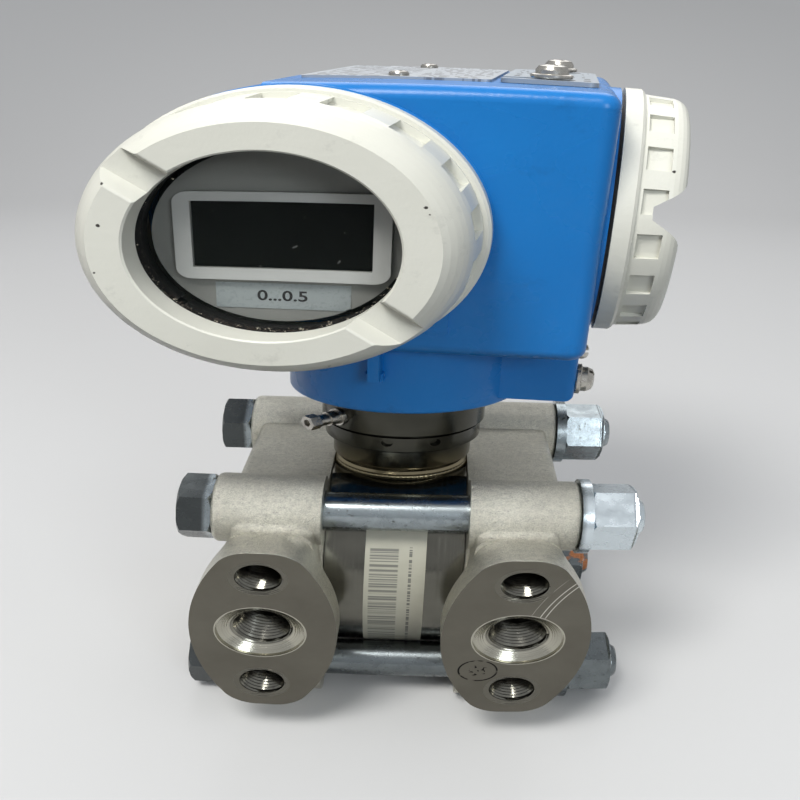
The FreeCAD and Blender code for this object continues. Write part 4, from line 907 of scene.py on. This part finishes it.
def crumbs(name, count, seed):
    """Point = place at radius r and angle of the window + size * CORNERS, turned by chance."""
    chance = np.random.default_rng(seed)
    angle = np.radians(chance.normal(HEAP_AT, HEAP_SPREAD, count))
    r = window.span("window_gasket", window.up)[1]
    r = r - (LEDGE_INSET + LEDGE_WIDTH * chance.random(count) ** 2) * mm
    out = window.span("window_glass", window.out)[1] + LUMP_LIFT * mm
    middle = window.place(r * np.cos(angle), r * np.sin(angle), out)
    turn = chance.normal(size=(count, 3, 3))
    turn /= np.linalg.norm(turn, axis=2, keepdims=True)
    size = (LUMP_LEAST + LUMP_MORE * chance.random(count))[:, None, None] * mm
    points = middle[:, None, :] + size * np.einsum("kc,ncd->nkd", CORNERS, turn)
    faces = (SIDES[None] + len(CORNERS) * np.arange(count)[:, None, None]).reshape(-1, 3).tolist()
    piece(name, points, faces, "display_cover", crumb_brown)


def grit(name):
    """Dust and crumbs: dark brown, with pale grains among them."""
    material, tree, shader, place = finish_named(name)
    pale = ramp(tree, noise(tree, place, 700.0, 1.0), 0.52, 0.56)
    tone = mix(tree, pale, (0.03, 0.022, 0.016), (0.40, 0.36, 0.29))
    set_inputs(tree, shader, Base_Color=tone, Roughness=0.8)
    return material


crumb_brown = grit("crumb_brown")
crumbs("window_crumbs", 420, 4)

# %% [markdown]
# ## Floor and light
#
# The instrument stands on a pale floor that curves up into a backdrop, as in a studio. A floor
# that bright would throw much light up under the instrument. So Light Path tells the two uses of
# a surface apart: what the eye, a mirror or a glass sees of it is pale, and what bounces onto the
# instrument stays low, so that its underside keeps its depth. Far out the floor fades into the
# dome of the scene, so that no view from the side shows where it ends.

# %% Floor
DOME_TINT, DOME_PALE = (0.95, 0.97, 1.0), 0.60
FLOOR_BOUNCE, FLOOR_PALE = 0.12, 0.58
FADE_START, FADE_END = 1.2, 2.6
REACH, BEND_START, BEND_R, WALL_TOP = 12.0, 0.9, 0.6, 2.2


def pale_to_eye(tree, low, high):
    """high for the camera, mirrors and glass, and low for light that bounces onto the object."""
    path = add(tree, "ShaderNodeLightPath").outputs
    seen = maths(tree, "MAXIMUM", path["Is Camera Ray"],
                 maths(tree, "MAXIMUM", path["Is Glossy Ray"], path["Is Transmission Ray"]))
    return blend(tree, seen, low, high)


def backdrop(z):
    """Flat floor, then a quarter of a circle, then a wall; the profile is carried along X."""
    bend = np.linspace(0, np.pi / 2, 24)
    y = np.concatenate([[-REACH], BEND_START + BEND_R * np.sin(bend), [BEND_START + BEND_R]])
    h = np.concatenate([[0.0], BEND_R * (1 - np.cos(bend)), [WALL_TOP]])
    x = np.array([-REACH, REACH])
    points = np.stack(np.broadcast_arrays(x[None, :], y[:, None], z + h[:, None]), -1)
    mesh = bpy.data.meshes.new("backdrop")
    mesh.from_pydata(points.reshape(-1, 3).tolist(), [], grid_faces(len(y), 2))
    mesh.shade_smooth()
    made = bpy.data.objects.new("backdrop", mesh)
    bpy.context.scene.collection.objects.link(made)
    material, tree, shader, place = finish_named("backdrop_paper")
    away = add(tree, "ShaderNodeVectorMath", {0: place}, operation="LENGTH").outputs["Value"]
    paper = ramp(tree, away, FADE_START, FADE_END, FLOOR_PALE, 0.0)
    grey = pale_to_eye(tree, FLOOR_BOUNCE, paper)
    glow = ramp(tree, away, FADE_START, FADE_END, 0.0, DOME_PALE)
    set_inputs(tree, shader, Roughness=0.8, Specular_IOR_Level=0.1, Emission_Color=DOME_TINT,
               Emission_Strength=pale_to_eye(tree, 0.0, glow),
               Base_Color=add(tree, "ShaderNodeCombineColor",
                              {"Red": grey, "Green": grey, "Blue": grey}).outputs[0])
    mesh.materials.append(material)


backdrop(cad_box[0].z - 0.3 * mm)
print("floor at", round((cad_box[0].z - 0.3 * mm) / mm, 2), "mm")

# %% [markdown]
# ## Light
#
# One soft lamp stands high in front on the left, a cooler one lower on the right, and a weak wide
# one behind. Square lamps of this size give shadows a soft edge and draw a clean highlight on
# turned steel. The dome adds a little light from above and almost none from the sides, so that
# upright faces stay darker than the tops.

# %% Lamps and dome
DOME_SIDE, DOME_TOP = 0.12, 0.75
AIM = (0.0, 0.05, 0.07)


def sky():
    """Dome that lights from above; the eye, mirrors and glass see a plain pale studio in it."""
    world = bpy.data.worlds.new("studio")
    bpy.context.scene.world = world
    world.use_nodes = True
    tree = world.node_tree
    z = parts(tree, add(tree, "ShaderNodeTexCoord").outputs["Generated"])["Z"]
    light = pale_to_eye(tree, ramp(tree, z, 0.0, 0.9, DOME_SIDE, DOME_TOP), DOME_PALE)
    tree.links.new(light, tree.nodes["Background"].inputs["Strength"])
    tree.nodes["Background"].inputs["Color"].default_value = (*DOME_TINT, 1.0)


def lamp(name, place, aim, size, power, colour=(1, 1, 1)):
    """A square lamp of that size in metres, standing at place and facing aim."""
    light = bpy.data.lights.new(name, "AREA")
    light.size, light.energy, light.color = size, power, colour
    holder = bpy.data.objects.new(name, light)
    holder.location = place
    holder.rotation_euler = (Vector(aim) - Vector(place)).to_track_quat("-Z", "Y").to_euler()
    bpy.context.scene.collection.objects.link(holder)


sky()
lamp("main", (-0.26, -0.42, 0.90), AIM, 0.32, 8.4, (1.0, 0.99, 0.96))
lamp("side", (0.42, -0.92, 0.52), AIM, 0.34, 3.4, (0.88, 0.95, 1.0))
lamp("back", (0.05, 0.85, 0.85), AIM, 0.8, 4.2)

# %% [markdown]
# ## View transform
#
# The plain transform shows colours as they are written.

# %% Finish
bpy.context.scene.view_settings.view_transform = "Standard"
